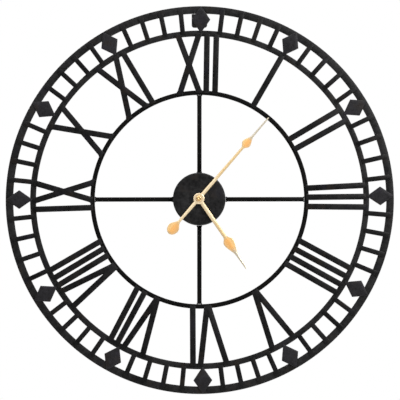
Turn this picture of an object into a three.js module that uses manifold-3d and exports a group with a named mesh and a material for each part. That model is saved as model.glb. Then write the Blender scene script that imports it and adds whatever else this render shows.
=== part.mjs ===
// Skeleton wall clock: a welded flat-bar frame with Roman numerals, a round hub cup, a quartz movement
// and two spade hands. Millimetres, +Z up, +X right. The dial faces -Y and the wall plane is Y = 0.
// The origin is where the hand axis meets the wall plane.
import * as THREE from 'three';
import { mergeVertices } from 'three/addons/utils/BufferGeometryUtils.js';
import Module from 'manifold-3d';

// ---------------------------------------------------------------- driving dimensions: frame
const clockDiameter = 600;
const outerRingWidth = 11.7;
const ladderWidth = 26.3;
const chapterRingWidth = 9.1;
const numeralHeight = 84.1;
const innerRingWidth = 7;
const ringThickness = 3;
const numeralBarWidth = 9;
const numeralBarThickness = 2;
const numeralTopLap = 4.4;
const numeralFootLap = 4;
const spokeWidth = 6.8;
const rungWidth = 7.5;
const rungThickness = 2;
const rungEndMargin = 3;
const weldSink = 0.5;
const diamondWidth = 29.2;
const markerGap = 0.5;

// ---------------------------------------------------------------- driving dimensions: wall hanger
const hangerWidth = 24;
const hangerThickness = 1.5;
const hangerDrop = 21.8;
const hangerCorner = 4;
const keyholeHeadRadius = 4.5;
const keyholeNeckRadius = 2.3;
const keyholeTravel = 8;
const keyholeMargin = 3.5;

// ---------------------------------------------------------------- driving dimensions: movement
const batteryLength = 50.5;
const batteryDiameter = 14.2;
const batteryNubRadius = 2.75;
const batteryNubLength = 1;
const batteryRoom = 0.8;
const contactRoom = 1.65;
const contactThickness = 0.5;
const contactSlotHeight = 4;
const contactLeafMargin = 2;
const contactTailRise = 1.2;
const positiveBumpRadius = 2;
const negativeBumpRadius = 3;
const caseSideWall = 1.1;
const caseFrontWall = 1.5;
const caseEdgeWall = 1.3;
const caseCorner = 3;
const dividerThickness = 1.2;
const chamberBelowAxis = 10.5;
const chamberAboveAxis = 26.7;
const coverThickness = 1.5;
const bearingDepth = 1.2;
const bearingBossWall = 1;
const gearPlateThickness = 1;

const arborRadius = 1.5;
const pivotRadius = 0.5;
const staffRadius = 0.9;
const hourTubeWall = 0.9;
const bushWall = 1.4;
const bushCollarWidth = 1.5;
const bushCollarThickness = 0.6;

const motionModule = 0.6;
const cannonTeeth = 10;
const minuteWheelTeeth = 30;
const minutePinionTeeth = 8;
const hourWheelTeeth = 32;
const settingTeeth = 15;
const goingModule = 0.4;
const centreWheelTeeth = 48;
const thirdPinionTeeth = 8;
const motorModule = 0.35;
const thirdWheelTeeth = 40;
const rotorPinionTeeth = 8;
const hourWheelThickness = 1.2;
const wheelThickness = 1;
const thinWheelThickness = 0.8;
const pinionOverlap = 0.2;
const gearGap = 0.6;
const minuteWheelBearing = 35;
const settingKnobBearing = -40;
const settingKnobRadius = 5;
const settingKnobLobes = 10;

const rotorX = -13;
const rotorZ = 11;
const magnetRadius = 3;
const magnetThickness = 1.8;
const magnetRoom = 0.5;
const statorThickness = 1;
const statorHalfLength = 11;
const statorBarWidth = 8.4;
const statorLegWidth = 3;
const coreWidth = 2.4;
const coilCentreHeight = 10.5;
const coilRadius = 2.4;
const boardWidth = 21;
const boardHeight = 8.5;
const boardThickness = 1;
const boardCentreX = 13.5;
const boardCentreZ = 21;
const boardPillarOffset = 7;
const crystalRadius = 1;
const crystalLength = 6;

// ---------------------------------------------------------------- driving dimensions: hub and hands
const hubWall = 1;
const hubRoom = 1.05;
const hubEdgeRadius = 2;
const rubberWasherThickness = 0.8;
const rubberWasherWidth = 4.7;
const brassWasherThickness = 0.6;
const brassWasherWidth = 3.7;
const fixingNutAcrossFlats = 13;
const fixingNutThickness = 2.5;
const bushThreadPastNut = 1;
const hourHandStandoff = 0.8;
const handThickness = 0.8;
const handSpacing = 2.2;
const handBossRadius = 8.4;
const handNutRadius = 4;
const handNutHeight = 2.4;
const handNutRoof = 0.9;
const handNutCrownRadius = 3.2;
const minuteHandAngle = 40.8;
const hourHandAngle = 145.8;

const minuteHandForm = {
  tip: 164,
  shaftWidth: 5.6,
  neckWidth: 4,
  bulbStart: 102,
  bulbMiddle: 111,
  bulbEnd: 127,
  bulbWidth: 13.6,
  needleWidth: 3.2,
  tipWidth: 2.2,
  tail: { start: 45.5, middle: 59.5, end: 71, width: 17.6 },
};
const hourHandForm = {
  tip: 130,
  shaftWidth: 6.2,
  neckWidth: 5.6,
  bulbStart: 70.5,
  bulbMiddle: 80.5,
  bulbEnd: 105.5,
  bulbWidth: 16.4,
  needleWidth: 4.2,
  tipWidth: 2.8,
  tail: null,
};

// ---------------------------------------------------------------- clearances
const partGap = 0.3;
const runningGap = 0.1;
const boreRoom = 0.4;

// ---------------------------------------------------------------- roundness
const ringSegments = 96;
const cupSegments = 48;
const shaftSegments = 24;
const pinSegments = 12;
const cornerSegments = 4;
const handCurveSegments = 6;

// The frame is welded by hand: at each hour the diamond, the first rung after it and the pitch of the
// four rungs stray a little from the true angles. Degrees, clockwise, from 12 o'clock on.
const nominalPitch = 6;
const hourSetting = [
  { diamond: 0.5, rung: 1, pitch: 5.9 },
  { diamond: 0.3, rung: 0, pitch: 6.2 },
  { diamond: -0.5, rung: -1.5, pitch: 6.3 },
  { diamond: -1, rung: -1.2, pitch: 6 },
  { diamond: -0.3, rung: 0.5, pitch: 5.8 },
  { diamond: 0, rung: 0, pitch: 5.6 },
  { diamond: -1.1, rung: -0.7, pitch: 5.8 },
  { diamond: -1.4, rung: -1.3, pitch: 5.9 },
  { diamond: -1.5, rung: -1.1, pitch: 6.4 },
  { diamond: 0, rung: 0, pitch: 5.9 },
  { diamond: 0.2, rung: 0.6, pitch: 6 },
  { diamond: 0, rung: 0, pitch: 6.1 },
];
const rungsPerHour = 4;

// A numeral is a row of bars between the inner ring and the chapter ring. A stroke is the clockwise
// offset of its foot and of its top from the hour line, counted in steps.
const strokeStepShare = 0.944;
const bar = (foot, top) => ({ letter: 'bar', strokes: [[foot, top]] });
const vee = (left, right) => ({ letter: 'vee', strokes: [left, right] });
const cross = (rising, falling) => ({ letter: 'cross', strokes: [rising, falling] });
const numerals = [
  [cross([-3.45, -0.2], [-0.14, -3.75]), bar(1.25, 1.4), bar(2.85, 3.1)],
  [bar(0, 0)],
  [bar(-1.25, -1.35), bar(0.8, 0.95)],
  [bar(-2, -2.5), bar(-0.35, -0.45), bar(1.35, 1.45)],
  [bar(-2.55, -2.8), bar(-0.85, -1.15), bar(0.75, 0.6), bar(2.3, 2.25)],
  [vee([-0.55, -2.2], [-0.2, 2])],
  [vee([-1.75, -4.85], [-1.35, -0.25]), bar(1.2, 1.15)],
  [vee([-2.5, -5.15], [-2.35, -1.55]), bar(0.15, -0.15), bar(1.7, 1.25)],
  [vee([-3.05, -5.3], [-2.65, -1.95]), bar(-0.5, -0.7), bar(0.95, 0.8), bar(2.4, 2.4)],
  [bar(-1.5, -1.8), cross([0, 2.9], [3, -0.15])],
  [cross([-1.7, 1.9], [1.85, -1.85])],
  [cross([-3.55, -0.3], [0, -4]), bar(1.45, 1.3)],
];

// ---------------------------------------------------------------- frame layout
const outerRadius = clockDiameter / 2;
const outerRingInner = outerRadius - outerRingWidth;
const chapterOuter = outerRingInner - ladderWidth;
const chapterInner = chapterOuter - chapterRingWidth;
const innerRingOuter = chapterInner - numeralHeight;
const innerRingInner = innerRingOuter - innerRingWidth;

// Rungs and diamonds start on the chapter ring, just past the tops of the numerals.
const markerStart = chapterInner + numeralTopLap + markerGap;

// Layers from the wall forwards: the rings and spokes, then the rungs and diamonds, then the numerals.
const rungBack = -ringThickness - partGap;
const chapterRingFront = rungBack - weldSink;
const chapterRingBack = chapterRingFront + ringThickness;
const numeralBack = chapterRingFront - partGap;

// ---------------------------------------------------------------- movement layout
const caseDepth = caseFrontWall + batteryDiameter + batteryRoom;
const caseFront = -caseDepth;
const chamberFront = caseFront + caseFrontWall;
const caseHalfWidth = batteryLength / 2 + contactRoom + caseSideWall;
const chamberHalfWidth = caseHalfWidth - caseSideWall;
const bayHeight = batteryDiameter + batteryRoom;
const bayTop = -chamberBelowAxis - dividerThickness;
const bayBottom = bayTop - bayHeight;
const caseBottom = bayBottom - caseEdgeWall;
const caseTop = chamberAboveAxis + caseEdgeWall;
const coverBottom = -chamberBelowAxis - dividerThickness / 2;
const coverInside = -coverThickness;
const bearingFace = coverInside - bearingDepth;

const hourWheelBack = chamberFront + gearGap + hourWheelThickness;
const minuteWheelBack = hourWheelBack + gearGap + wheelThickness;
const gearPlateBack = minuteWheelBack + gearGap + gearPlateThickness;
const gearPlateFront = gearPlateBack - gearPlateThickness;
const centreWheelBack = gearPlateBack + gearGap + wheelThickness;
const thirdWheelBack = centreWheelBack + gearGap + thinWheelThickness;
const magnetBack = thirdWheelBack + gearGap + magnetThickness;
const statorBack = magnetBack - (magnetThickness - statorThickness) / 2;
const coilMiddle = statorBack - statorThickness / 2;
const contactSlotDepth = coilMiddle;
const pivotEnd = coverInside + partGap;
const frontPivotEnd = chamberFront - caseFrontWall / 2;

const hourTubeBore = arborRadius + runningGap;
const hourTubeRadius = hourTubeBore + hourTubeWall;
const bushBore = hourTubeRadius + runningGap;
const bushRadius = bushBore + bushWall;
const bushHole = bushRadius + partGap;

// ---------------------------------------------------------------- hub and hand layout
const halfCaseCorner = Math.hypot(
  caseHalfWidth - caseCorner,
  Math.max(caseTop, -caseBottom) - caseCorner,
) + caseCorner;
const hubRadius = halfCaseCorner + hubRoom + hubWall;
const bushCollarBack = caseFront - partGap;
const rubberWasherBack = bushCollarBack - bushCollarThickness - partGap;
const hubPlateBack = rubberWasherBack - rubberWasherThickness - partGap;
const hubFront = hubPlateBack - hubWall;
const brassWasherBack = hubFront - partGap;
const fixingNutBack = brassWasherBack - brassWasherThickness - partGap;
const bushFront = fixingNutBack - fixingNutThickness - bushThreadPastNut;
const hourHandBack = bushFront - hourHandStandoff;
const hourTubeFront = hourHandBack - handThickness - partGap;
const minuteHandBack = hourHandBack - handThickness - handSpacing;
const handNutBack = minuteHandBack - handThickness - partGap;
const arborFront = handNutBack - (handNutHeight - handNutRoof) + partGap;

// ---------------------------------------------------------------- gear layout
const degrees = (angle) => angle * Math.PI / 180;
const centre = { x: 0, z: 0 };
const polar = (origin, distance, angle) => ({
  x: origin.x + distance * Math.cos(degrees(angle)),
  z: origin.z + distance * Math.sin(degrees(angle)),
});
const bearingOf = (from, to) => Math.atan2(to.z - from.z, to.x - from.x) * 180 / Math.PI;
const meshDistance = (teethA, teethB, module) => (teethA + teethB) * module / 2;

// The gear axis that meshes with two others, on the anticlockwise side of the line from a to b.
function meetingPoint(a, distanceA, b, distanceB) {
  const span = Math.hypot(b.x - a.x, b.z - a.z);
  const cosine = (distanceA ** 2 + span ** 2 - distanceB ** 2) / (2 * distanceA * span);
  return polar(a, distanceA, bearingOf(a, b) + Math.acos(cosine) * 180 / Math.PI);
}

// The angle of a tooth on the driven gear that drops it into mesh with the driving one.
function meshedPhase(driverPhase, driverTeeth, drivenTeeth, bearing) {
  return bearing + 180 - (driverPhase - bearing) * driverTeeth / drivenTeeth + 180 / drivenTeeth;
}

const rotorAxis = { x: rotorX, z: rotorZ };
const minuteWheelAxis = polar(
  centre,
  meshDistance(cannonTeeth, minuteWheelTeeth, motionModule),
  minuteWheelBearing,
);
const settingAxis = polar(
  minuteWheelAxis,
  meshDistance(minuteWheelTeeth, settingTeeth, motionModule),
  settingKnobBearing,
);
const thirdAxis = meetingPoint(
  centre,
  meshDistance(centreWheelTeeth, thirdPinionTeeth, goingModule),
  rotorAxis,
  meshDistance(thirdWheelTeeth, rotorPinionTeeth, motorModule),
);
const minuteWheelPhase = meshedPhase(0, cannonTeeth, minuteWheelTeeth, minuteWheelBearing);
const hourWheelPhase = meshedPhase(0, minutePinionTeeth, hourWheelTeeth, minuteWheelBearing + 180);
const settingPhase = meshedPhase(minuteWheelPhase, minuteWheelTeeth, settingTeeth, settingKnobBearing);
const thirdPinionPhase = meshedPhase(0, centreWheelTeeth, thirdPinionTeeth, bearingOf(centre, thirdAxis));
const rotorPhase = meshedPhase(0, thirdWheelTeeth, rotorPinionTeeth, bearingOf(thirdAxis, rotorAxis));

// ---------------------------------------------------------------- finishes
const finish = (color, roughness, metalness) =>
  new THREE.MeshStandardMaterial({ color, roughness, metalness });
const finishes = {
  blackPaint: () => finish(0x2a2a2b, 0.55, 0.3),
  blackPlastic: () => finish(0x1b1b1c, 0.6, 0),
  whitePlastic: () => finish(0xe6e4dc, 0.5, 0),
  brass: () => finish(0xc9a14a, 0.35, 1),
  gold: () => finish(0xe8b873, 0.35, 0.8),
  steel: () => finish(0xa8abad, 0.35, 1),
  rubber: () => finish(0x151515, 0.9, 0),
  copper: () => finish(0xb0643a, 0.4, 0.9),
  board: () => finish(0x2f5a34, 0.6, 0),
  batteryLabel: () => finish(0x3d4f5c, 0.4, 0.2),
};

// ---------------------------------------------------------------- solid tools
const library = await Module();
library.setup();

function toSolid(geometry) {
  const bare = geometry.clone();
  bare.deleteAttribute('normal');
  bare.deleteAttribute('uv');
  const merged = mergeVertices(bare, 1e-5);
  return new library.Manifold(new library.Mesh({
    numProp: 3,
    vertProperties: Float32Array.from(merged.attributes.position.array),
    triVerts: Uint32Array.from(merged.index.array),
  }));
}

function toGeometry(solid) {
  const mesh = solid.getMesh();
  const geometry = new THREE.BufferGeometry();
  geometry.setAttribute('position', new THREE.BufferAttribute(Float32Array.from(mesh.vertProperties), 3));
  geometry.setIndex(new THREE.BufferAttribute(Uint32Array.from(mesh.triVerts), 1));
  return geometry;
}

const combine = (operation) => (first, ...others) =>
  toGeometry(others.reduce((solid, other) => solid[operation](toSolid(other)), toSolid(first)));
const join = combine('add');
const cut = combine('subtract');
const trim = combine('intersect');

// ---------------------------------------------------------------- shape tools
// A flat outline drawn as seen from the front, from its back plane forwards.
function plate(shape, back, thickness, curveSegments = cornerSegments) {
  const options = { depth: thickness, bevelEnabled: false, curveSegments };
  const geometry = new THREE.ExtrudeGeometry(shape, options);
  geometry.rotateX(Math.PI / 2);
  geometry.translate(0, back, 0);
  return geometry;
}

const polygon = (points) => new THREE.Shape(points.map(([x, z]) => new THREE.Vector2(x, z)));

function block(left, right, front, back, bottom, top) {
  const geometry = new THREE.BoxGeometry(right - left, back - front, top - bottom);
  geometry.translate((left + right) / 2, (front + back) / 2, (bottom + top) / 2);
  return geometry;
}

function shaft(axis, radius, front, back, segments = shaftSegments) {
  const geometry = new THREE.CylinderGeometry(radius, radius, back - front, segments);
  geometry.translate(axis.x, (front + back) / 2, axis.z);
  return geometry;
}

function turned(profile, segments) {
  return new THREE.LatheGeometry(profile.map(([r, y]) => new THREE.Vector2(r, y)), segments);
}

// A flat ring about the hand axis.
const washer = (inner, outer, front, back, segments) =>
  turned([[inner, front], [outer, front], [outer, back], [inner, back], [inner, front]], segments);

function roundedRectangle(left, right, bottom, top, radius) {
  const shape = new THREE.Shape();
  shape.moveTo(left + radius, bottom);
  shape.absarc(right - radius, bottom + radius, radius, -Math.PI / 2, 0, false);
  shape.absarc(right - radius, top - radius, radius, 0, Math.PI / 2, false);
  shape.absarc(left + radius, top - radius, radius, Math.PI / 2, Math.PI, false);
  shape.absarc(left + radius, bottom + radius, radius, Math.PI, Math.PI * 1.5, false);
  return shape;
}

// Trapezoid teeth, thin enough to leave backlash, with a tooth centred on the phase angle.
const addendum = 0.75;
const dedendum = 1.05;
const tipHalfTooth = 0.11;
const rootHalfTooth = 0.27;
function gearShape(teeth, module, phase) {
  const pitchRadius = teeth * module / 2;
  const tip = pitchRadius + addendum * module;
  const root = pitchRadius - dedendum * module;
  const pitch = 2 * Math.PI / teeth;
  const shape = new THREE.Shape();
  for (let tooth = 0; tooth < teeth; tooth += 1) {
    const middle = degrees(phase) + tooth * pitch;
    const corners = [
      [root, -rootHalfTooth], [tip, -tipHalfTooth], [tip, tipHalfTooth], [root, rootHalfTooth],
    ];
    for (const [radius, share] of corners) {
      const angle = middle + share * pitch;
      const point = [radius * Math.cos(angle), radius * Math.sin(angle)];
      if (shape.curves.length === 0 && shape.currentPoint.length() === 0) shape.moveTo(...point);
      else shape.lineTo(...point);
    }
  }
  return shape;
}

function gear(axis, teeth, module, phase, back, thickness) {
  const geometry = plate(gearShape(teeth, module, phase), back, thickness);
  geometry.translate(axis.x, 0, axis.z);
  return geometry;
}

// ---------------------------------------------------------------- assembly
const clock = new THREE.Group();

function add(parent, name, geometry, material) {
  const mesh = new THREE.Mesh(geometry, material);
  mesh.name = name;
  parent.add(mesh);
  return mesh;
}

// ---------------------------------------------------------------- frame
const turnedClockwise = (geometry, angle) => geometry.rotateY(degrees(angle));

function rung(angle) {
  const outerEnd = outerRadius - rungEndMargin;
  const strip = block(
    -rungWidth / 2, rungWidth / 2, rungBack - rungThickness, rungBack, markerStart, outerEnd,
  );
  return turnedClockwise(strip, angle);
}

function diamond(angle) {
  const middle = (markerStart + outerRadius) / 2;
  const outline = polygon([
    [0, markerStart], [diamondWidth / 2, middle], [0, outerRadius], [-diamondWidth / 2, middle],
  ]);
  return turnedClockwise(plate(outline, rungBack, rungThickness), angle);
}

function buildRings(frame) {
  const outerRing = washer(outerRingInner, outerRadius, -ringThickness, 0, ringSegments);
  add(frame, 'outer_ring', outerRing, finishes.blackPaint());

  const innerRing = washer(innerRingInner, innerRingOuter, chapterRingFront, chapterRingBack, ringSegments);
  add(frame, 'inner_ring', innerRing, finishes.blackPaint());

  const chapterRing = washer(chapterInner, chapterOuter, chapterRingFront, chapterRingBack, ringSegments);
  const markers = [];
  hourSetting.forEach((setting, hour) => {
    const hourAngle = hour * 30;
    markers.push(diamond(hourAngle + setting.diamond));
    for (let count = 0; count < rungsPerHour; count += 1) {
      markers.push(rung(hourAngle + nominalPitch + setting.rung + count * setting.pitch));
    }
  });
  add(frame, 'minute_track', join(chapterRing, ...markers), finishes.blackPaint());
}

// One stroke, over-long at both ends, drawn at 12 o'clock.
function stroke([footSteps, topSteps]) {
  const step = numeralBarWidth * strokeStepShare;
  const foot = footSteps * step;
  const top = topSteps * step;
  const start = new THREE.Vector2(foot, Math.sqrt(innerRingOuter ** 2 - foot ** 2));
  const end = new THREE.Vector2(top, Math.sqrt(chapterInner ** 2 - top ** 2));
  const along = end.clone().sub(start).normalize();
  const across = new THREE.Vector2(-along.y, along.x).multiplyScalar(numeralBarWidth / 2);
  start.addScaledVector(along, -numeralBarWidth * 2);
  end.addScaledVector(along, numeralBarWidth * 2);
  const corners = [
    start.clone().sub(across), end.clone().sub(across), end.clone().add(across), start.clone().add(across),
  ];
  return plate(new THREE.Shape(corners), numeralBack, numeralBarThickness);
}

function buildNumerals(frame) {
  const band = washer(
    innerRingOuter - numeralFootLap, chapterInner + numeralTopLap,
    numeralBack - numeralBarThickness * 2, numeralBack + numeralBarThickness, ringSegments,
  );
  numerals.forEach((pieces, hour) => {
    const label = String(hour === 0 ? 12 : hour).padStart(2, '0');
    pieces.forEach((piece, index) => {
      const strokes = piece.strokes.map((ends) => turnedClockwise(stroke(ends), hour * 30));
      const solid = trim(join(...strokes), band);
      add(frame, `numeral_${label}_${piece.letter}_${index + 1}`, solid, finishes.blackPaint());
    });
  });
}

function buildSpokes(frame) {
  const band = washer(
    hubRadius + partGap, innerRingInner - partGap, chapterRingFront * 2, ringThickness, ringSegments,
  );
  for (const hour of [12, 3, 6, 9]) {
    const bar = block(
      -spokeWidth / 2, spokeWidth / 2, chapterRingFront, chapterRingBack, hubRadius / 2, innerRingOuter,
    );
    const label = String(hour).padStart(2, '0');
    add(frame, `spoke_${label}`, trim(turnedClockwise(bar, hour * 30), band), finishes.blackPaint());
  }
}

// A keyhole plate behind the 12 o'clock diamond, for one nail or flat-headed screw in the wall.
function buildHanger(frame) {
  const bottom = outerRingInner - hangerDrop;
  const headCentre = bottom + keyholeMargin + keyholeHeadRadius;
  const neckCentre = headCentre + keyholeTravel;
  const outline = roundedRectangle(-hangerWidth / 2, hangerWidth / 2, bottom, outerRadius, hangerCorner);
  const front = -hangerThickness * 2;
  const back = hangerThickness;
  const inside = shaft(centre, outerRingInner - partGap, front, back, ringSegments);
  const keyhole = join(
    shaft({ x: 0, z: headCentre }, keyholeHeadRadius, front, back),
    block(-keyholeNeckRadius, keyholeNeckRadius, front, back, headCentre, neckCentre),
    shaft({ x: 0, z: neckCentre }, keyholeNeckRadius, front, back),
  );
  add(
    frame,
    'hanger_plate',
    cut(trim(plate(outline, 0, hangerThickness), inside), keyhole),
    finishes.blackPaint(),
  );
}

// ---------------------------------------------------------------- hub
function buildHub(frame) {
  const edge = [];
  for (let step = 0; step <= cornerSegments; step += 1) {
    const angle = step / cornerSegments * Math.PI / 2;
    edge.push([
      hubRadius - hubEdgeRadius + hubEdgeRadius * Math.sin(angle),
      hubFront + hubEdgeRadius - hubEdgeRadius * Math.cos(angle),
    ]);
  }
  const hole = bushHole + boreRoom;
  const profile = [
    [hole, hubFront], ...edge, [hubRadius, 0], [hubRadius - hubWall, 0],
    [hubRadius - hubWall, hubPlateBack], [hole, hubPlateBack], [hole, hubFront],
  ];
  add(frame, 'hub_cup', turned(profile, cupSegments), finishes.blackPaint());
}

// ---------------------------------------------------------------- movement: shell
const caseOutline = () =>
  roundedRectangle(-caseHalfWidth, caseHalfWidth, caseBottom, caseTop, caseCorner);

function buildCase(frame) {
  const body = plate(caseOutline(), 0, caseDepth);
  const chamber = block(
    -chamberHalfWidth, chamberHalfWidth, chamberFront, partGap, -chamberBelowAxis, chamberAboveAxis,
  );
  const bay = block(-chamberHalfWidth, chamberHalfWidth, chamberFront, partGap, bayBottom, bayTop);
  const coverSeat = block(
    -caseHalfWidth - partGap, caseHalfWidth + partGap, coverInside - partGap, partGap,
    coverBottom - partGap, caseTop + partGap,
  );
  const bushPassage = shaft(centre, bushHole, caseFront - partGap, chamberFront + partGap);
  const contactSlots = [-1, 1].map((side) => {
    const inner = side * (chamberHalfWidth - contactThickness - 2 * partGap);
    const outer = side * chamberHalfWidth;
    return block(
      Math.min(inner, outer), Math.max(inner, outer),
      contactSlotDepth - contactSlotHeight / 2, contactSlotDepth + contactSlotHeight / 2,
      bayTop - partGap, -chamberBelowAxis + partGap,
    );
  });
  const sockets = [minuteWheelAxis, settingAxis].map((axis) =>
    shaft(axis, pivotRadius + runningGap, frontPivotEnd - partGap, chamberFront + partGap, pinSegments));
  add(
    frame,
    'movement_case',
    cut(body, chamber, bay, coverSeat, bushPassage, ...contactSlots, ...sockets),
    finishes.blackPlastic(),
  );
}

function buildCover(frame) {
  const panel = trim(
    plate(caseOutline(), 0, coverThickness),
    block(-caseHalfWidth, caseHalfWidth, coverInside * 2, coverThickness, coverBottom, caseTop),
  );
  const bossRadius = pivotRadius + bearingBossWall;
  const bearings = [centre, thirdAxis, rotorAxis];
  const bosses = bearings.map((axis) =>
    shaft(axis, bossRadius, bearingFace, coverInside + coverThickness / 2, shaftSegments));
  const sockets = bearings.map((axis) =>
    shaft(axis, pivotRadius + runningGap, bearingFace - partGap, pivotEnd + partGap, pinSegments));
  const knobHole = shaft(settingAxis, settingKnobRadius + boreRoom, coverInside * 2, coverThickness);
  add(frame, 'movement_cover', cut(join(panel, ...bosses), ...sockets, knobHole), finishes.blackPlastic());
}

function buildGearPlate(frame) {
  const panel = block(
    -chamberHalfWidth + partGap, chamberHalfWidth - partGap, gearPlateFront, gearPlateBack,
    -chamberBelowAxis + partGap, chamberAboveAxis - partGap,
  );
  const pillarSpots = [
    { x: rotorX - statorHalfLength + statorLegWidth / 2, z: rotorZ + coilCentreHeight },
    { x: rotorX + statorHalfLength - statorLegWidth / 2, z: rotorZ + coilCentreHeight },
    { x: boardCentreX - boardPillarOffset, z: boardCentreZ },
    { x: boardCentreX + boardPillarOffset, z: boardCentreZ },
  ];
  const pillarEnd = statorBack - statorThickness - partGap;
  const pillars = pillarSpots.map((spot) =>
    shaft(spot, staffRadius, gearPlateBack - gearPlateThickness / 2, pillarEnd, pinSegments));
  const hole = (axis, radius, segments = pinSegments) =>
    shaft(axis, radius + runningGap, gearPlateFront - partGap, gearPlateBack + partGap, segments);
  add(frame, 'gear_plate', cut(
    join(panel, ...pillars),
    hole(centre, arborRadius, shaftSegments),
    hole(settingAxis, arborRadius, shaftSegments),
    hole(minuteWheelAxis, pivotRadius),
    hole(thirdAxis, pivotRadius),
    hole(rotorAxis, pivotRadius),
  ), finishes.whitePlastic());
}

// ---------------------------------------------------------------- movement: trains
function buildCentreArbor(frame) {
  const cannonThickness = wheelThickness + pinionOverlap * 2;
  add(frame, 'centre_arbor', join(
    shaft(centre, arborRadius, arborFront, centreWheelBack),
    gear(centre, cannonTeeth, motionModule, 0, minuteWheelBack + pinionOverlap, cannonThickness),
    gear(centre, centreWheelTeeth, goingModule, 0, centreWheelBack, wheelThickness),
    shaft(centre, staffRadius, centreWheelBack - wheelThickness / 2, bearingFace - partGap),
    shaft(centre, pivotRadius, bearingFace - partGap * 2, pivotEnd, pinSegments),
  ), finishes.steel());
}

function buildHourWheel(frame) {
  const bore = shaft(centre, hourTubeBore, hourTubeFront - partGap, hourWheelBack + partGap);
  add(frame, 'hour_wheel', cut(join(
    shaft(centre, hourTubeRadius, hourTubeFront, hourWheelBack),
    gear(centre, hourWheelTeeth, motionModule, hourWheelPhase, hourWheelBack, hourWheelThickness),
  ), bore), finishes.brass());
}

function buildMinuteWheel(frame) {
  const axis = minuteWheelAxis;
  const pinionFront = hourWheelBack - hourWheelThickness - pinionOverlap;
  add(frame, 'minute_wheel', join(
    gear(axis, minuteWheelTeeth, motionModule, minuteWheelPhase, minuteWheelBack, wheelThickness),
    gear(axis, minutePinionTeeth, motionModule, 0, minuteWheelBack, minuteWheelBack - pinionFront),
    shaft(axis, pivotRadius, frontPivotEnd, gearPlateBack, pinSegments),
  ), finishes.whitePlastic());
}

function buildSettingKnob(frame) {
  const axis = settingAxis;
  const lobeModule = settingKnobRadius / (settingKnobLobes / 2 + addendum);
  const knobPlate = plate(gearShape(settingKnobLobes, lobeModule, 0), -partGap, coverThickness);
  knobPlate.translate(axis.x, 0, axis.z);
  add(frame, 'setting_knob', join(
    gear(axis, settingTeeth, motionModule, settingPhase, minuteWheelBack, wheelThickness),
    shaft(axis, arborRadius, minuteWheelBack - wheelThickness / 2, -coverThickness / 2),
    shaft(axis, pivotRadius, frontPivotEnd, minuteWheelBack - wheelThickness / 2, pinSegments),
    knobPlate,
  ), finishes.whitePlastic());
}

function buildThirdWheel(frame) {
  const axis = thirdAxis;
  const pinionFront = centreWheelBack - wheelThickness - pinionOverlap;
  const pinionLength = thirdWheelBack - pinionFront;
  add(frame, 'third_wheel', join(
    gear(axis, thirdWheelTeeth, motorModule, 0, thirdWheelBack, thinWheelThickness),
    gear(axis, thirdPinionTeeth, goingModule, thirdPinionPhase, thirdWheelBack, pinionLength),
    shaft(axis, staffRadius, thirdWheelBack - thinWheelThickness / 2, bearingFace - partGap, pinSegments),
    shaft(axis, pivotRadius, gearPlateFront, pivotEnd, pinSegments),
  ), finishes.whitePlastic());
}

function buildMotor(frame) {
  const axis = rotorAxis;
  const pinionFront = thirdWheelBack - thinWheelThickness - pinionOverlap;
  add(frame, 'rotor', join(
    shaft(axis, magnetRadius, magnetBack - magnetThickness, magnetBack),
    gear(axis, rotorPinionTeeth, motorModule, rotorPhase, magnetBack, magnetBack - pinionFront),
    shaft(axis, pivotRadius, gearPlateFront, pivotEnd, pinSegments),
  ), finishes.steel());

  const coreZ = rotorZ + coilCentreHeight;
  const left = rotorX - statorHalfLength;
  const right = rotorX + statorHalfLength;
  const front = statorBack - statorThickness;
  add(frame, 'stator', cut(
    join(
      block(left, right, front, statorBack, rotorZ - statorBarWidth / 2, rotorZ + statorBarWidth / 2),
      block(left, right, front, statorBack, coreZ - coreWidth / 2, coreZ + coreWidth / 2),
      block(left, left + statorLegWidth, front, statorBack, rotorZ, coreZ + coreWidth / 2),
      block(right - statorLegWidth, right, front, statorBack, rotorZ, coreZ + coreWidth / 2),
    ),
    shaft(axis, magnetRadius + magnetRoom, front - partGap, statorBack + partGap),
  ), finishes.steel());

  const coilLeft = left + statorLegWidth + partGap;
  const coilRight = right - statorLegWidth - partGap;
  const winding = new THREE.CylinderGeometry(coilRadius, coilRadius, coilRight - coilLeft, shaftSegments);
  winding.rotateZ(Math.PI / 2);
  winding.translate((coilLeft + coilRight) / 2, coilMiddle, coreZ);
  const corePassage = block(
    coilLeft - partGap, coilRight + partGap, front - partGap, statorBack + partGap,
    coreZ - coreWidth / 2 - partGap, coreZ + coreWidth / 2 + partGap,
  );
  add(frame, 'coil', cut(winding, corePassage), finishes.copper());
}

function buildElectronics(frame) {
  add(frame, 'circuit_board', block(
    boardCentreX - boardWidth / 2, boardCentreX + boardWidth / 2, statorBack - boardThickness, statorBack,
    boardCentreZ - boardHeight / 2, boardCentreZ + boardHeight / 2,
  ), finishes.board());
  const crystal = new THREE.CylinderGeometry(crystalRadius, crystalRadius, crystalLength, pinSegments);
  crystal.rotateZ(Math.PI / 2);
  crystal.translate(boardCentreX, statorBack + partGap + crystalRadius, boardCentreZ);
  add(frame, 'quartz_crystal', crystal, finishes.steel());
}

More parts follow.
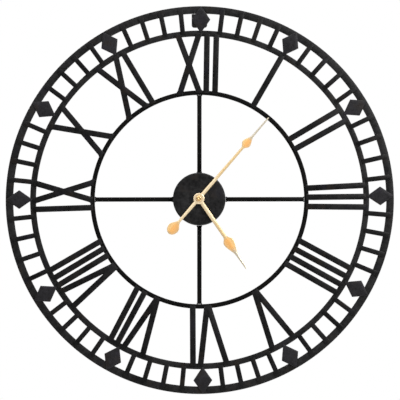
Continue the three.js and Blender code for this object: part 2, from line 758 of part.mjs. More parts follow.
function buildBattery(frame) {
  const radius = batteryDiameter / 2;
  const half = batteryLength / 2;
  const middleY = chamberFront + batteryRoom / 2 + radius;
  const middleZ = (bayTop + bayBottom) / 2;
  const cell = turned([
    [0, -half], [radius, -half], [radius, half - batteryNubLength],
    [batteryNubRadius, half - batteryNubLength], [batteryNubRadius, half], [0, half],
  ], shaftSegments);
  cell.rotateZ(-Math.PI / 2);
  cell.translate(0, middleY, middleZ);
  add(frame, 'battery', cell, finishes.batteryLabel());

  const leafHalfDepth = radius - contactLeafMargin;
  const tailHalfDepth = contactSlotHeight / 2 - partGap;
  const contacts = [
    ['contact_positive', 1, positiveBumpRadius],
    ['contact_negative', -1, negativeBumpRadius],
  ];
  for (const [name, side, bumpRadius] of contacts) {
    const outer = side * (chamberHalfWidth - partGap);
    const inner = outer - side * contactThickness;
    const reach = side * (half + partGap);
    const leaf = block(
      Math.min(inner, outer), Math.max(inner, outer), middleY - leafHalfDepth, middleY + leafHalfDepth,
      bayBottom + partGap, bayTop - partGap,
    );
    const tail = block(
      Math.min(inner, outer), Math.max(inner, outer),
      contactSlotDepth - tailHalfDepth, contactSlotDepth + tailHalfDepth,
      bayTop - partGap * 2, -chamberBelowAxis + contactTailRise,
    );
    const bump = new THREE.CylinderGeometry(bumpRadius, bumpRadius, Math.abs(outer - reach), shaftSegments);
    bump.rotateZ(Math.PI / 2);
    bump.translate((outer + reach) / 2, middleY, middleZ);
    add(frame, name, join(leaf, tail, bump), finishes.steel());
  }
}

// ---------------------------------------------------------------- movement: fixing through the hub
function buildFixing(frame) {
  const collar = bushRadius + bushCollarWidth;
  add(frame, 'centre_bush', turned([
    [bushBore, bushFront], [bushRadius, bushFront],
    [bushRadius, bushCollarBack - bushCollarThickness], [collar, bushCollarBack - bushCollarThickness],
    [collar, bushCollarBack], [bushRadius, bushCollarBack],
    [bushRadius, chamberFront], [bushBore, chamberFront], [bushBore, bushFront],
  ], shaftSegments), finishes.brass());
  add(frame, 'rubber_washer', washer(
    bushHole, bushHole + rubberWasherWidth, rubberWasherBack - rubberWasherThickness, rubberWasherBack,
    shaftSegments,
  ), finishes.rubber());
  add(frame, 'brass_washer', washer(
    bushHole, bushHole + brassWasherWidth, brassWasherBack - brassWasherThickness, brassWasherBack,
    shaftSegments,
  ), finishes.brass());
  const cornerRadius = fixingNutAcrossFlats / Math.sqrt(3);
  const hexagon = new THREE.CylinderGeometry(cornerRadius, cornerRadius, fixingNutThickness, 6);
  hexagon.translate(0, fixingNutBack - fixingNutThickness / 2, 0);
  const thread = shaft(
    centre, bushHole, fixingNutBack - fixingNutThickness * 2, fixingNutBack + fixingNutThickness,
  );
  add(frame, 'fixing_nut', cut(hexagon, thread), finishes.brass());
}

// ---------------------------------------------------------------- hands
// The outline runs up the right side of the hand to its blunt tip and back down by symmetry.
function handOutline(form) {
  const neckHalf = form.neckWidth / 2;
  const needleHalf = form.needleWidth / 2;
  const rightSide = [];
  const swell = (startHalf, endHalf, start, end) => {
    for (let step = 1; step <= handCurveSegments; step += 1) {
      const share = step / handCurveSegments;
      const swing = (1 - Math.cos(Math.PI * share)) / 2;
      rightSide.push([startHalf + (endHalf - startHalf) * swing, start + (end - start) * share]);
    }
  };
  if (form.tail) {
    const { start, middle, end, width } = form.tail;
    for (let step = 0; step <= handCurveSegments; step += 1) {
      const turn = Math.PI / 2 * step / handCurveSegments;
      rightSide.push([width / 2 * Math.sin(turn), -middle - (end - middle) * Math.cos(turn)]);
    }
    swell(width / 2, neckHalf, -middle, -start);
  }
  rightSide.push([form.shaftWidth / 2, 0], [neckHalf, form.bulbStart]);
  swell(neckHalf, form.bulbWidth / 2, form.bulbStart, form.bulbMiddle);
  swell(form.bulbWidth / 2, needleHalf, form.bulbMiddle, form.bulbEnd);
  rightSide.push([form.tipWidth / 2, form.tip]);
  const leftSide = rightSide.filter(([half]) => half > 0).reverse().map(([half, along]) => [-half, along]);
  return polygon([...rightSide, ...leftSide]);
}

function buildHand(frame, name, form, back, boreRadius, angle) {
  const blade = plate(handOutline(form), back, handThickness);
  const boss = shaft(centre, handBossRadius, back - handThickness, back, shaftSegments);
  const bore = shaft(centre, boreRadius, back - handThickness * 2, back + handThickness);
  add(frame, name, turnedClockwise(cut(join(blade, boss), bore), angle), finishes.gold());
}

function buildHands(frame) {
  buildHand(frame, 'hour_hand', hourHandForm, hourHandBack, hourTubeRadius + partGap, hourHandAngle);
  buildHand(frame, 'minute_hand', minuteHandForm, minuteHandBack, arborRadius + partGap, minuteHandAngle);
  const nutFront = handNutBack - handNutHeight;
  const threadFront = nutFront + handNutRoof;
  const threadRadius = arborRadius + partGap;
  add(frame, 'hand_nut', turned([
    [0, nutFront], [handNutCrownRadius, nutFront], [handNutRadius, nutFront + handNutRoof],
    [handNutRadius, handNutBack], [threadRadius, handNutBack], [threadRadius, threadFront], [0, threadFront],
  ], shaftSegments), finishes.gold());
}

buildRings(clock);
buildNumerals(clock);
buildSpokes(clock);
buildHanger(clock);
buildHub(clock);
buildCase(clock);
buildCover(clock);
buildGearPlate(clock);
buildCentreArbor(clock);
buildHourWheel(clock);
buildMinuteWheel(clock);
buildSettingKnob(clock);
buildThirdWheel(clock);
buildMotor(clock);
buildElectronics(clock);
buildBattery(clock);
buildFixing(clock);
buildHands(clock);

export default clock;
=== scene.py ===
"""Skeleton wall clock: the looks of its welded frame, hub, quartz movement and spade hands.

Metres, +Z up. The dial faces -Y, the wall plane is Y = 0 and the origin is on the hand axis.
Shapes are worked out in millimetres and written in metres.
"""

import logging
import math
import random
from collections.abc import Iterable, Sequence
from dataclasses import dataclass
from enum import Enum

import bmesh
import bpy
from mathutils import Matrix, Vector


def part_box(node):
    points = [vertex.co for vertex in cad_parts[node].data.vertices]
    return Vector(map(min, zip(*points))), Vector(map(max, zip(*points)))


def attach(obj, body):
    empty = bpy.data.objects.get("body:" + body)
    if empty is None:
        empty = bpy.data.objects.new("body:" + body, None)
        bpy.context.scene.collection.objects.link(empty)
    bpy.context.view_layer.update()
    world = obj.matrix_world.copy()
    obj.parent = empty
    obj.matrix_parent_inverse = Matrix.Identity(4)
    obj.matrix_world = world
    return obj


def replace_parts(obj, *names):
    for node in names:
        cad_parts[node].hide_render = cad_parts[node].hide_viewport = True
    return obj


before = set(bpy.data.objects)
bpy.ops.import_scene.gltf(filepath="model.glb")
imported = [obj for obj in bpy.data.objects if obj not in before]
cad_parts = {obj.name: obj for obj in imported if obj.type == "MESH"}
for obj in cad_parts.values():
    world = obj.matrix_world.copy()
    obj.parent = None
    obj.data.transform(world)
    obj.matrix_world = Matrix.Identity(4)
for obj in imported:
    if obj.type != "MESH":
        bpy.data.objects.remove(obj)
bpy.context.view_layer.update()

LOG = logging.getLogger("clock")
MILLIMETRE = 0.001
HOUR_STEP = 30
# Share of the lighter edge colour on the weld beads: a painted glint.
WELD_GLINT = 0.2
WELD_SHARP = 80.0
# Face layer for wear and painted light: lighter edges as wear and painted highlight on the powder
# coat, painted shade in the hands' boss groove, the bare caps of the cell.
WEAR_AND_PAINTED_LIGHT = "wear_and_painted_light"
SPADE = "spade"
EDGE = "blade_edge"
SIDE = "blade_side"
REACH = "blade_reach"
NEEDLE = "blade_needle"

Colour = tuple[float, float, float]
Point = tuple[float, float, float]
Flat = tuple[float, float]
Piece = bpy.types.Object


class Body(Enum):
    """The moving groups that a piece can ride on."""

    FRAME = "frame"
    MINUTE_HAND = "minute_hand"
    HOUR_HAND = "hour_hand"
    SETTING_KNOB = "setting_knob"
    BATTERY = "battery"


class Slot(Enum):
    """The record's names for the finishes."""

    POWDER_COAT = "black_powder_coat"
    BLACK_MOULDING = "black_moulding"
    WHITE_MOULDING = "white_moulding"
    BRASS = "brass_fittings"
    STEEL = "bright_steel"
    COPPER = "copper_winding"
    BOARD = "green_board"
    JACKET = "cell_jacket"
    RUBBER = "black_rubber"
    GOLD = "pale_gold"


# ------------------------------------------------------------------ shader wiring
class Wire:
    """One output socket of a material, on which Python's operators add maths nodes."""

    def __init__(self, tree: bpy.types.NodeTree, socket: bpy.types.NodeSocket) -> None:
        """Keeps the socket and the tree that holds it."""
        self.tree = tree
        self.socket = socket

    def maths(self, operation: str, *values: "Wire | float | Colour") -> "Wire":
        """Adds one Math node, or one Vector Math node where a value is a vector.

        Args:
            operation: The node's operation, such as ADD.
            values: What goes into its sockets, in order.

        Returns:
            The node's result.
        """
        vector = any(
            isinstance(v, tuple) or isinstance(v, Wire) and v.socket.type == "VECTOR"
            for v in values
        )
        node = self.tree.nodes.new("ShaderNodeVectorMath" if vector else "ShaderNodeMath")
        node.operation = operation
        for socket, value in zip(node.inputs, values):
            plug(self.tree, socket, value)
        return Wire(self.tree, node.outputs[0])

    def __add__(self, other: "Wire | float | Colour") -> "Wire":
        """self + other."""
        return self.maths("ADD", self, other)

    def __radd__(self, other: "float | Colour") -> "Wire":
        """other + self."""
        return self.maths("ADD", other, self)

    def __sub__(self, other: "Wire | float | Colour") -> "Wire":
        """self - other."""
        return self.maths("SUBTRACT", self, other)

    def __rsub__(self, other: "float | Colour") -> "Wire":
        """other - self."""
        return self.maths("SUBTRACT", other, self)

    def __mul__(self, other: "Wire | float | Colour") -> "Wire":
        """self * other."""
        return self.maths("MULTIPLY", self, other)

    def __rmul__(self, other: "float | Colour") -> "Wire":
        """other * self."""
        return self.maths("MULTIPLY", other, self)


def plug(
    tree: bpy.types.NodeTree, socket: bpy.types.NodeSocket, value: "Wire | float | Colour"
) -> None:
    """Links a wire into a socket, or sets the socket's own value.

    Args:
        tree: The tree that holds the socket.
        socket: The input to fill.
        value: A wire, a number, or three numbers for a colour or a vector.
    """
    if isinstance(value, Wire):
        tree.links.new(value.socket, socket)
    elif socket.type == "RGBA":
        socket.default_value = (*value, 1.0)
    elif socket.type == "VECTOR" and not isinstance(value, tuple):
        socket.default_value = (value, value, value)
    else:
        socket.default_value = value


class Recipe:
    """The nodes of one material."""

    def __init__(self, name: str) -> None:
        """Starts an empty material with the piece's own coordinates to hand."""
        self.material = bpy.data.materials.new(name)
        self.material.use_nodes = True
        self.tree = self.material.node_tree
        self.tree.nodes.clear()
        self.place = self.node("ShaderNodeTexCoord", output="Object")

    def node(
        self,
        kind: str,
        settings: dict | None = None,
        sockets: dict | None = None,
        output: int | str = 0,
    ) -> Wire:
        """Adds any node.

        Args:
            kind: The node's type.
            settings: Its properties, set first.
            sockets: Values or wires for its inputs, by name or index.
            output: The output to carry on from.

        Returns:
            That output.
        """
        made = self.tree.nodes.new(kind)
        for name, value in (settings or {}).items():
            setattr(made, name, value)
        for name, value in (sockets or {}).items():
            plug(self.tree, made.inputs[name], value)
        return Wire(self.tree, made.outputs[output])

    def noise(self, size: float, detail: float = 3.0, place: Wire | None = None) -> Wire:
        """Cloudy noise with patches of about one size.

        Args:
            size: The width of a patch in millimetres.
            detail: How many finer layers it carries.
            place: The coordinates to read it at, if not the piece's own.

        Returns:
            A value around one half.
        """
        sockets = {"Vector": place or self.place, "Scale": 1000.0 / size, "Detail": detail}
        return self.node("ShaderNodeTexNoise", {"noise_dimensions": "3D"}, sockets)

    def stretched(self, across: float, along: float, up: float) -> Wire:
        """The piece's coordinates, squeezed or drawn out along each axis."""
        return self.place * (across, along, up)

    def spread(self, value: Wire, low: float, high: float) -> Wire:
        """Maps low..high to 0..1 and holds what lies outside."""
        sockets = {0: value, 1: low, 2: high, 3: 0.0, 4: 1.0}
        return self.node("ShaderNodeMapRange", {"clamp": True}, sockets)

    def mixed(self, share: Wire | float, first: "Wire | Colour", second: "Wire | Colour") -> Wire:
        """Mixes two colours: first at a share of 0, second at 1."""
        return self.node(
            "ShaderNodeMix", {"data_type": "RGBA"}, {0: share, 6: first, 7: second}, output=2
        )

    def painted(self, name: str) -> Wire:
        """A value that the mesh itself carries, 0 where it has none."""
        settings = {"attribute_type": "GEOMETRY", "attribute_name": name}
        return self.node("ShaderNodeAttribute", settings, output="Fac")

    def bump(self, height: Wire, depth: float, strength: float = 1.0) -> Wire:
        """Turns a height into a surface normal.

        Args:
            height: The relief, 0 to 1.
            depth: What a height of 1 stands for, in millimetres.
            strength: How much of it shows.

        Returns:
            The normal.
        """
        sockets = {"Height": height, "Distance": depth * MILLIMETRE, "Strength": strength}
        return self.node("ShaderNodeBump", sockets=sockets)

    def surface(self, **sockets: "Wire | float | Colour") -> bpy.types.Material:
        """Ends the recipe in one Principled shader.

        Args:
            sockets: The shader's inputs, with _ for a space in each name.

        Returns:
            The finished material.
        """
        named = {name.replace("_", " "): value for name, value in sockets.items()}
        shader = self.node("ShaderNodeBsdfPrincipled", sockets=named)
        end = self.tree.nodes.new("ShaderNodeOutputMaterial")
        plug(self.tree, end.inputs["Surface"], shader)
        return self.material


# ------------------------------------------------------------------ finishes
class Finish:
    """A surface finish that makes its material once and puts it on pieces."""

    name: str
    slot: Slot
    made: dict[str, bpy.types.Material] = {}

    def mix(self) -> bpy.types.Material:
        """Makes the material's nodes."""
        raise NotImplementedError

    def onto(self, piece: Piece) -> None:
        """Gives a piece this finish, in place of any that it has.

        Args:
            piece: A new mesh or a node of the CAD frame.
        """
        if self.name not in Finish.made:
            Finish.made[self.name] = self.mix()
        piece.data.materials.clear()
        piece.data.materials.append(Finish.made[self.name])


@dataclass(frozen=True)
class PowderCoat(Finish):
    """Baked powder paint on mild steel: soft orange peel, cloudy tone, and lighter edges that are
    wear and painted highlight together.
    """

    name: str = "powder_coat"
    slot: Slot = Slot.POWDER_COAT
    deep: Colour = (0.0012, 0.0012, 0.0013)
    pale: Colour = (0.0165, 0.016, 0.0165)
    warm: Colour = (0.018, 0.0125, 0.0085)
    cool: Colour = (0.0105, 0.0095, 0.0155)
    # Colour of the edges: wear and painted highlight together.
    rubbed_and_lit: Colour = (0.045, 0.043, 0.041)
    roughness: float = 0.46
    shine: float = 0.19
    cloud_size: float = 38.0
    mottle_size: float = 4.5
    peel_size: float = 0.9
    relief: float = 0.16

    def mix(self) -> bpy.types.Material:
        """Makes the material's nodes."""
        r = Recipe(self.name)
        cloud = r.noise(self.cloud_size, 4.0)
        mottle = r.noise(self.mottle_size, 3.0)
        peel = r.noise(self.peel_size, 2.0)
        tone = r.spread(cloud * 0.45 + mottle * 0.55, 0.36, 0.66)
        base = r.mixed(tone, self.deep, self.pale)
        base = r.mixed(r.spread(r.noise(17.0, 2.0), 0.56, 0.74) * 0.55, base, self.warm)
        base = r.mixed(r.spread(r.noise(23.0, 2.0), 0.58, 0.76) * 0.5, base, self.cool)
        # Edges lightened by wear and by a painted highlight where the eased edges would catch the
        # light.
        wear_and_sheen = r.painted(WEAR_AND_PAINTED_LIGHT) * r.spread(r.noise(2.2, 3.0), 0.4, 0.66)
        base = r.mixed(wear_and_sheen * 0.7, base, self.rubbed_and_lit)
        height = peel * 0.55 + mottle * 0.45
        return r.surface(
            Base_Color=base,
            Roughness=self.roughness + (peel - 0.5) * 0.22 + (cloud - 0.5) * 0.2 - wear_and_sheen * 0.1,
            Specular_IOR_Level=self.shine,
            Normal=r.bump(height, self.relief, 0.8),
        )


@dataclass(frozen=True)
class PaleGold(Finish):
    """Pressed aluminium hands in pale gold lacquer, warmer and deeper on the spades; painted shade
    along the shaft edges, a painted lit side and a painted shaded side on the spades and the tail,
    and painted shade in the boss groove.
    """

    name: str = "pale_gold_lacquer"
    slot: Slot = Slot.GOLD
    light: Colour = (0.86, 0.70, 0.46)
    full: Colour = (0.76, 0.55, 0.28)
    bare: Colour = (0.55, 0.50, 0.40)
    deep: Colour = (1.0, 0.52, 0.165)
    shaded: Colour = (0.55, 0.40, 0.20)
    rim: Colour = (0.76, 0.54, 0.28)
    lit: Colour = (1.0, 0.76, 0.36)
    shaded_side: Colour = (0.74, 0.47, 0.22)
    groove: Colour = (0.36, 0.22, 0.09)
    cloud_size: float = 9.0
    grain_size: float = 0.5
    relief: float = 0.05

    def mix(self) -> bpy.types.Material:
        """Makes the material's nodes."""
        r = Recipe(self.name)
        spade, edge, side = r.painted(SPADE), r.painted(EDGE), r.painted(SIDE)
        cloud = r.noise(self.cloud_size, 3.0)
        grain = r.noise(self.grain_size, 2.0)
        swell = r.spread(spade + (cloud - 0.5) * 0.4, 0.1, 0.8)
        inner = r.mixed(r.painted(REACH), self.light, self.full)
        shaft = r.mixed(r.painted(NEEDLE), inner, self.bare)
        middle = r.mixed(swell, shaft, self.deep)
        # Towards the blade's edges: painted shade on the shafts, the rim colour on the spades.
        border = r.mixed(swell, self.shaded, self.rim)
        base = r.mixed(r.spread(edge, 0.35, 1.0), middle, border)
        # Painted light on the spades and the tail: the half with high side values darkened as
        # painted shade, the other half lightened as painted highlight.
        base = r.mixed(r.spread(side, 0.55, 0.95) * swell * 0.6, base, self.shaded_side)
        base = r.mixed(r.spread(side, 0.45, 0.15) * swell * (1 - edge) * 0.9, base, self.lit)
        # Painted shade in the boss groove, from the wear-and-light layer; then sparse random dark
        # specks.
        base = r.mixed(r.painted(WEAR_AND_PAINTED_LIGHT) * 0.6, base, self.groove)
        base = r.mixed(r.spread(r.noise(1.6, 3.0), 0.62, 0.8) * 0.15, base, self.groove)
        return r.surface(
            Base_Color=base,
            Metallic=0.35,
            Roughness=0.34 + (cloud - 0.5) * 0.16 + (grain - 0.5) * 0.12,
            Coat_Weight=0.25,
            Coat_Roughness=0.2,
            Normal=r.bump(grain * 0.5 + cloud * 0.5, self.relief, 0.6),
        )


@dataclass(frozen=True)
class Moulding(Finish):
    """Injection-moulded plastic with a spark-eroded mould texture and faint flow marks."""

    name: str
    slot: Slot
    base: Colour
    tired: Colour
    roughness: float = 0.5
    texture: float = 0.35

    def mix(self) -> bpy.types.Material:
        """Makes the material's nodes."""
        r = Recipe(self.name)
        spark = r.noise(self.texture, 2.0)
        flow = r.noise(14.0, 3.0, r.stretched(1.0, 1.0, 0.25))
        dust = r.spread(r.noise(3.0, 4.0), 0.55, 0.8)
        base = r.mixed(r.spread(flow, 0.35, 0.7), self.base, self.tired)
        base = r.mixed(r.painted(WEAR_AND_PAINTED_LIGHT) * 0.35 + dust * 0.12, base, self.tired)
        return r.surface(
            Base_Color=base,
            Roughness=self.roughness + (spark - 0.5) * 0.3 + dust * 0.12,
            Specular_IOR_Level=0.45,
            Normal=r.bump(spark * 0.8 + flow * 0.2, 0.06, 0.7),
        )


@dataclass(frozen=True)
class TurnedMetal(Finish):
    """Bare metal off the lathe or the press: fine rings about the hand axis, a little tarnish."""

    name: str
    slot: Slot
    bright: Colour
    tarnish: Colour
    roughness: float = 0.27
    ring_scale: float = 900.0

    def mix(self) -> bpy.types.Material:
        """Makes the material's nodes."""
        r = Recipe(self.name)
        settings = {"wave_type": "RINGS", "rings_direction": "Y", "wave_profile": "SIN"}
        sockets = {"Vector": r.place, "Scale": self.ring_scale, "Distortion": 1.2, "Detail": 2.0}
        rings = r.node("ShaderNodeTexWave", settings, sockets, output="Fac")
        film = r.noise(6.0, 4.0)
        specks = r.spread(r.noise(0.8, 2.0), 0.62, 0.8)
        base = r.mixed(r.spread(film, 0.42, 0.7) * 0.6 + specks * 0.2, self.bright, self.tarnish)
        return r.surface(
            Base_Color=base,
            Metallic=1.0,
            Roughness=self.roughness + (film - 0.5) * 0.25 + (rings - 0.5) * 0.1,
            Normal=r.bump(rings * 0.6 + film * 0.4, 0.02, 0.5),
        )


@dataclass(frozen=True)
class Rubber(Finish):
    """Dull black rubber with talc in its pores."""

    name: str = "washer_rubber"
    slot: Slot = Slot.RUBBER
    base: Colour = (0.016, 0.016, 0.017)
    talc: Colour = (0.075, 0.073, 0.07)

    def mix(self) -> bpy.types.Material:
        """Makes the material's nodes."""
        r = Recipe(self.name)
        pores = r.noise(0.6, 3.0)
        bloom = r.spread(r.noise(5.0, 4.0), 0.5, 0.78)
        return r.surface(
            Base_Color=r.mixed(bloom * 0.5, self.base, self.talc),
            Roughness=0.82 + (pores - 0.5) * 0.2,
            Normal=r.bump(pores, 0.08, 0.8),
        )


@dataclass(frozen=True)
class Winding(Finish):
    """Enamelled copper wire in close turns along the coil, with painted shade in the valleys
    between the turns.
    """

    name: str = "coil_winding"
    slot: Slot = Slot.COPPER
    crest: Colour = (0.78, 0.36, 0.18)
    valley_shade: Colour = (0.2, 0.06, 0.025)
    turn_scale: float = 1250.0

    def mix(self) -> bpy.types.Material:
        """Makes the material's nodes."""
        r = Recipe(self.name)
        settings = {"wave_type": "BANDS", "bands_direction": "X", "wave_profile": "SIN"}
        sockets = {"Vector": r.place, "Scale": self.turn_scale, "Distortion": 0.4, "Detail": 1.0}
        turns = r.node("ShaderNodeTexWave", settings, sockets, output="Fac")
        return r.surface(
            # Painted shade in the valleys between the turns.
            Base_Color=r.mixed(turns, self.valley_shade, self.crest),
            Metallic=0.8,
            Roughness=0.38 - turns * 0.1,
            Normal=r.bump(turns, 0.12),
        )


@dataclass(frozen=True)
class SolderMask(Finish):
    """Green board lacquer over copper tracks."""

    name: str = "board_lacquer"
    slot: Slot = Slot.BOARD
    lacquer: Colour = (0.015, 0.11, 0.035)
    track: Colour = (0.04, 0.2, 0.06)
    track_scale: float = 380.0

    def mix(self) -> bpy.types.Material:
        """Makes the material's nodes."""
        r = Recipe(self.name)
        settings = {"feature": "DISTANCE_TO_EDGE", "voronoi_dimensions": "3D"}
        sockets = {"Vector": r.place, "Scale": self.track_scale}
        cells = r.node("ShaderNodeTexVoronoi", settings, sockets, output="Distance")
        tracks = r.spread(cells, 0.04, 0.09)
        weave = r.noise(0.5, 2.0)
        return r.surface(
            Base_Color=r.mixed(tracks, self.track, self.lacquer),
            Roughness=0.35 + (weave - 0.5) * 0.2,
            Normal=r.bump((1 - tracks) * 0.7 + weave * 0.3, 0.04),
        )


@dataclass(frozen=True)
class CellJacket(Finish):
    """Shrunk plastic sleeve: a deep blue-grey body, a pale band near one end, bare caps."""

    name: str = "cell_sleeve"
    slot: Slot = Slot.JACKET
    body: Colour = (0.035, 0.07, 0.11)
    band: Colour = (0.52, 0.54, 0.55)
    cap: Colour = (0.62, 0.62, 0.6)
    band_start: float = 14.5
    band_end: float = 22.6
    band_fade: float = 0.2

    def mix(self) -> bpy.types.Material:
        """Makes the material's nodes."""
        r = Recipe(self.name)
        apart = r.node("ShaderNodeSeparateXYZ", sockets={"Vector": r.place}, output="X")
        marks = (self.band_start, self.band_end, self.band_fade)
        start, end, fade = (mark * MILLIMETRE for mark in marks)
        banded = r.spread(apart, start, start + fade) * (1 - r.spread(apart, end, end + fade))
        fleck = r.noise(0.7, 2.0)
        scuff = r.spread(r.noise(7.0, 5.0, r.stretched(0.3, 1.0, 1.0)), 0.6, 0.75)
        bare = r.painted(WEAR_AND_PAINTED_LIGHT)
        base = r.mixed(banded, self.body, self.band)
        base = r.mixed(scuff * 0.25, base, self.band)
        base = r.mixed(bare, base, self.cap)
        return r.surface(
            Base_Color=base,
            Metallic=bare,
            Roughness=0.3 + scuff * 0.2 + (fleck - 0.5) * 0.1,
            Coat_Weight=0.5 - bare * 0.5,
            Coat_Roughness=0.12,
            Normal=r.bump(fleck * 0.5 + scuff * 0.5, 0.03, 0.6),
        )


@dataclass(frozen=True)
class PaleFloor(Finish):
    """A plain pale floor, matt, with a barely seen unevenness."""

    name: str = "pale_floor"
    slot: Slot = Slot.WHITE_MOULDING
    base: Colour = (0.82, 0.82, 0.81)
    shade: Colour = (0.77, 0.77, 0.765)

    def mix(self) -> bpy.types.Material:
        """Makes the material's nodes."""
        r = Recipe(self.name)
        cloud = r.noise(420.0, 4.0)
        return r.surface(
            Base_Color=r.mixed(r.spread(cloud, 0.35, 0.7), self.base, self.shade),
            Roughness=0.8 + (cloud - 0.5) * 0.1,
            Normal=r.bump(cloud, 0.4, 0.3),
        )


POWDER_COAT = PowderCoat()
# A darker copy of the powder coat for the spokes and the inner band: painted shade.
SHADED_COAT = PowderCoat(
    "shaded_powder_coat",
    deep=(0.0008, 0.0008, 0.0008),
    pale=(0.004, 0.0038, 0.0034),
    warm=(0.007, 0.005, 0.003),
    cool=(0.003, 0.003, 0.004),
    shine=0.08,
)
# A darker copy of the powder coat for the rungs and the numerals: painted shade that holds down
# their edge highlights.
SHADED_BAR_COAT = PowderCoat(
    "shaded_bar_powder_coat",
    deep=(0.0009, 0.0009, 0.001),
    pale=(0.0115, 0.011, 0.0115),
    rubbed_and_lit=(0.026, 0.025, 0.024),
    shine=0.13,
)
# A lighter copy of the powder coat for the diamonds: painted light.
LIT_COAT = PowderCoat(
    "lit_powder_coat",
    deep=(0.0065, 0.006, 0.007),
    pale=(0.019, 0.018, 0.021),
    cool=(0.022, 0.017, 0.03),
)
PALE_GOLD = PaleGold()
BLACK_CASE = Moulding(
    "black_case_plastic", Slot.BLACK_MOULDING, base=(0.014, 0.014, 0.015),
    tired=(0.045, 0.045, 0.047),
)
WHITE_GEARS = Moulding(
    "white_gear_plastic", Slot.WHITE_MOULDING, base=(0.8, 0.79, 0.74), tired=(0.66, 0.63, 0.55),
    roughness=0.42,
)
BRASS = TurnedMetal("turned_brass", Slot.BRASS, bright=(0.83, 0.6, 0.25), tarnish=(0.5, 0.32, 0.12))
STEEL = TurnedMetal(
    "bright_steel", Slot.STEEL, bright=(0.62, 0.63, 0.64), tarnish=(0.36, 0.34, 0.32), roughness=0.3
)
GOLD_NUT = TurnedMetal(
    "gold_nut", Slot.GOLD, bright=(0.95, 0.62, 0.28), tarnish=(0.62, 0.34, 0.12), roughness=0.3
)
RUBBER = Rubber()
WINDING = Winding()
BOARD = SolderMask()
CELL_JACKET = CellJacket()


# ------------------------------------------------------------------ shape tools, millimetres
def ramp(value: float, low: float, high: float) -> float:
    """Where a value lies between two others, held to 0..1."""
    return min(1.0, max(0.0, (value - low) / (high - low)))


@dataclass(frozen=True)
class Extent:
    """The box of a CAD node, in millimetres."""

    left: float
    right: float
    front: float
    back: float
    bottom: float
    top: float

    @classmethod
    def of(cls, node: str) -> "Extent":
        """Reads the box of one node."""
        low, high = (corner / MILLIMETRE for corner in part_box(node))
        return cls(low.x, high.x, low.y, high.y, low.z, high.z)


def clockwise(degrees: float) -> Matrix:
    """The turn about the hand axis by that many degrees, clockwise as the dial is read."""
    return Matrix.Rotation(math.radians(degrees), 4, "Y")


def faces_between(shape: bmesh.types.BMesh, first: Sequence, second: Sequence) -> None:
    """Joins two closed rows of vertices with quads.

    Args:
        shape: The mesh that holds them.
        first: One row.
        second: The next row, with as many vertices.
    """
    count = len(first)
    for i in range(count):
        j = (i + 1) % count
        shape.faces.new((first[i], first[j], second[j], second[i]))


def loft(shape: bmesh.types.BMesh, sections: Sequence[Sequence[Vector]]) -> list:
    """Adds a skin over closed sections, with a cap at each end.

    Args:
        shape: The mesh to add to.
        sections: Loops of points, all with the same count.

    Returns:
        The new rows of vertices.
    """
    rows = [[shape.verts.new(point) for point in section] for section in sections]
    for first, second in zip(rows, rows[1:]):
        faces_between(shape, first, second)
    shape.faces.new(rows[0])
    shape.faces.new(list(reversed(rows[-1])))
    return rows


def rectangle(left: float, right: float, low: float, high: float) -> list[Flat]:
    """The four corners of a rectangle, in order."""
    return [(left, low), (right, low), (right, high), (left, high)]


def lathe(profile: Sequence[Flat], segments: int) -> bmesh.types.BMesh:
    """Turns a closed profile about the hand axis.

    Args:
        profile: Radius and Y of each point.
        segments: The number of steps round the axis.

    Returns:
        The turned mesh.
    """
    shape = bmesh.new()
    rows = []
    for step in range(segments):
        angle = 2 * math.pi * step / segments
        sine, cosine = math.sin(angle), math.cos(angle)
        rows.append([shape.verts.new((r * sine, y, r * cosine)) for r, y in profile])
    for first, second in zip(rows, rows[1:] + rows[:1]):
        faces_between(shape, first, second)
    return shape


def softened(corners: Sequence[Flat], radius: float, steps: int = 3) -> list[Flat]:
    """Rounds every corner of a closed profile.

    Args:
        corners: The profile's points in order.
        radius: The distance from each corner at which its curve starts.
        steps: The number of pieces in each curve.

    Returns:
        The rounded profile.
    """
    result = []
    for i, corner in enumerate(corners):
        here = Vector(corner)
        before = Vector(corners[i - 1]) - here
        after = Vector(corners[(i + 1) % len(corners)]) - here
        reach = min(radius, before.length * 0.45, after.length * 0.45)
        start, end = here + before.normalized() * reach, here + after.normalized() * reach
        for step in range(steps + 1):
            t = step / steps
            result.append(tuple(start * (1 - t) ** 2 + here * 2 * t * (1 - t) + end * t * t))
    return result


def prism(
    shape: bmesh.types.BMesh, outline: Sequence[Flat], back: float, front: float, turn: float = 0.0
) -> None:
    """Adds a flat plate cut to an outline.

    Args:
        shape: The mesh to add to.
        outline: X and Z of the plate's corners, in order.
        back: Y of its rear face.
        front: Y of its front face.
        turn: Degrees clockwise to turn it about the hand axis.
    """
    matrix = clockwise(turn)
    sections = [[matrix @ Vector((x, y, z)) for x, z in outline] for y in (back, front)]
    loft(shape, sections)


def traced(node: str) -> bmesh.types.BMesh:
    """A clean copy of a CAD node's shape: seams closed and flat faces made whole.

    Args:
        node: The node to copy.

    Returns:
        The copy, in millimetres.
    """
    shape = bmesh.new()
    shape.from_mesh(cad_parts[node].data)
    bmesh.ops.scale(shape, vec=Vector((1, 1, 1)) / MILLIMETRE, verts=shape.verts)
    bmesh.ops.remove_doubles(shape, verts=shape.verts, dist=0.002)
    flat = math.radians(0.6)
    bmesh.ops.dissolve_limit(shape, angle_limit=flat, verts=shape.verts, edges=shape.edges)
    return shape


def wear_and_light_layer(shape: bmesh.types.BMesh) -> bmesh.types.BMLayerItem:
    """The face layer of a mesh for wear and painted light: how much each face is lightened or
    darkened.
    """
    return shape.faces.layers.float.get(WEAR_AND_PAINTED_LIGHT) or shape.faces.layers.float.new(WEAR_AND_PAINTED_LIGHT)


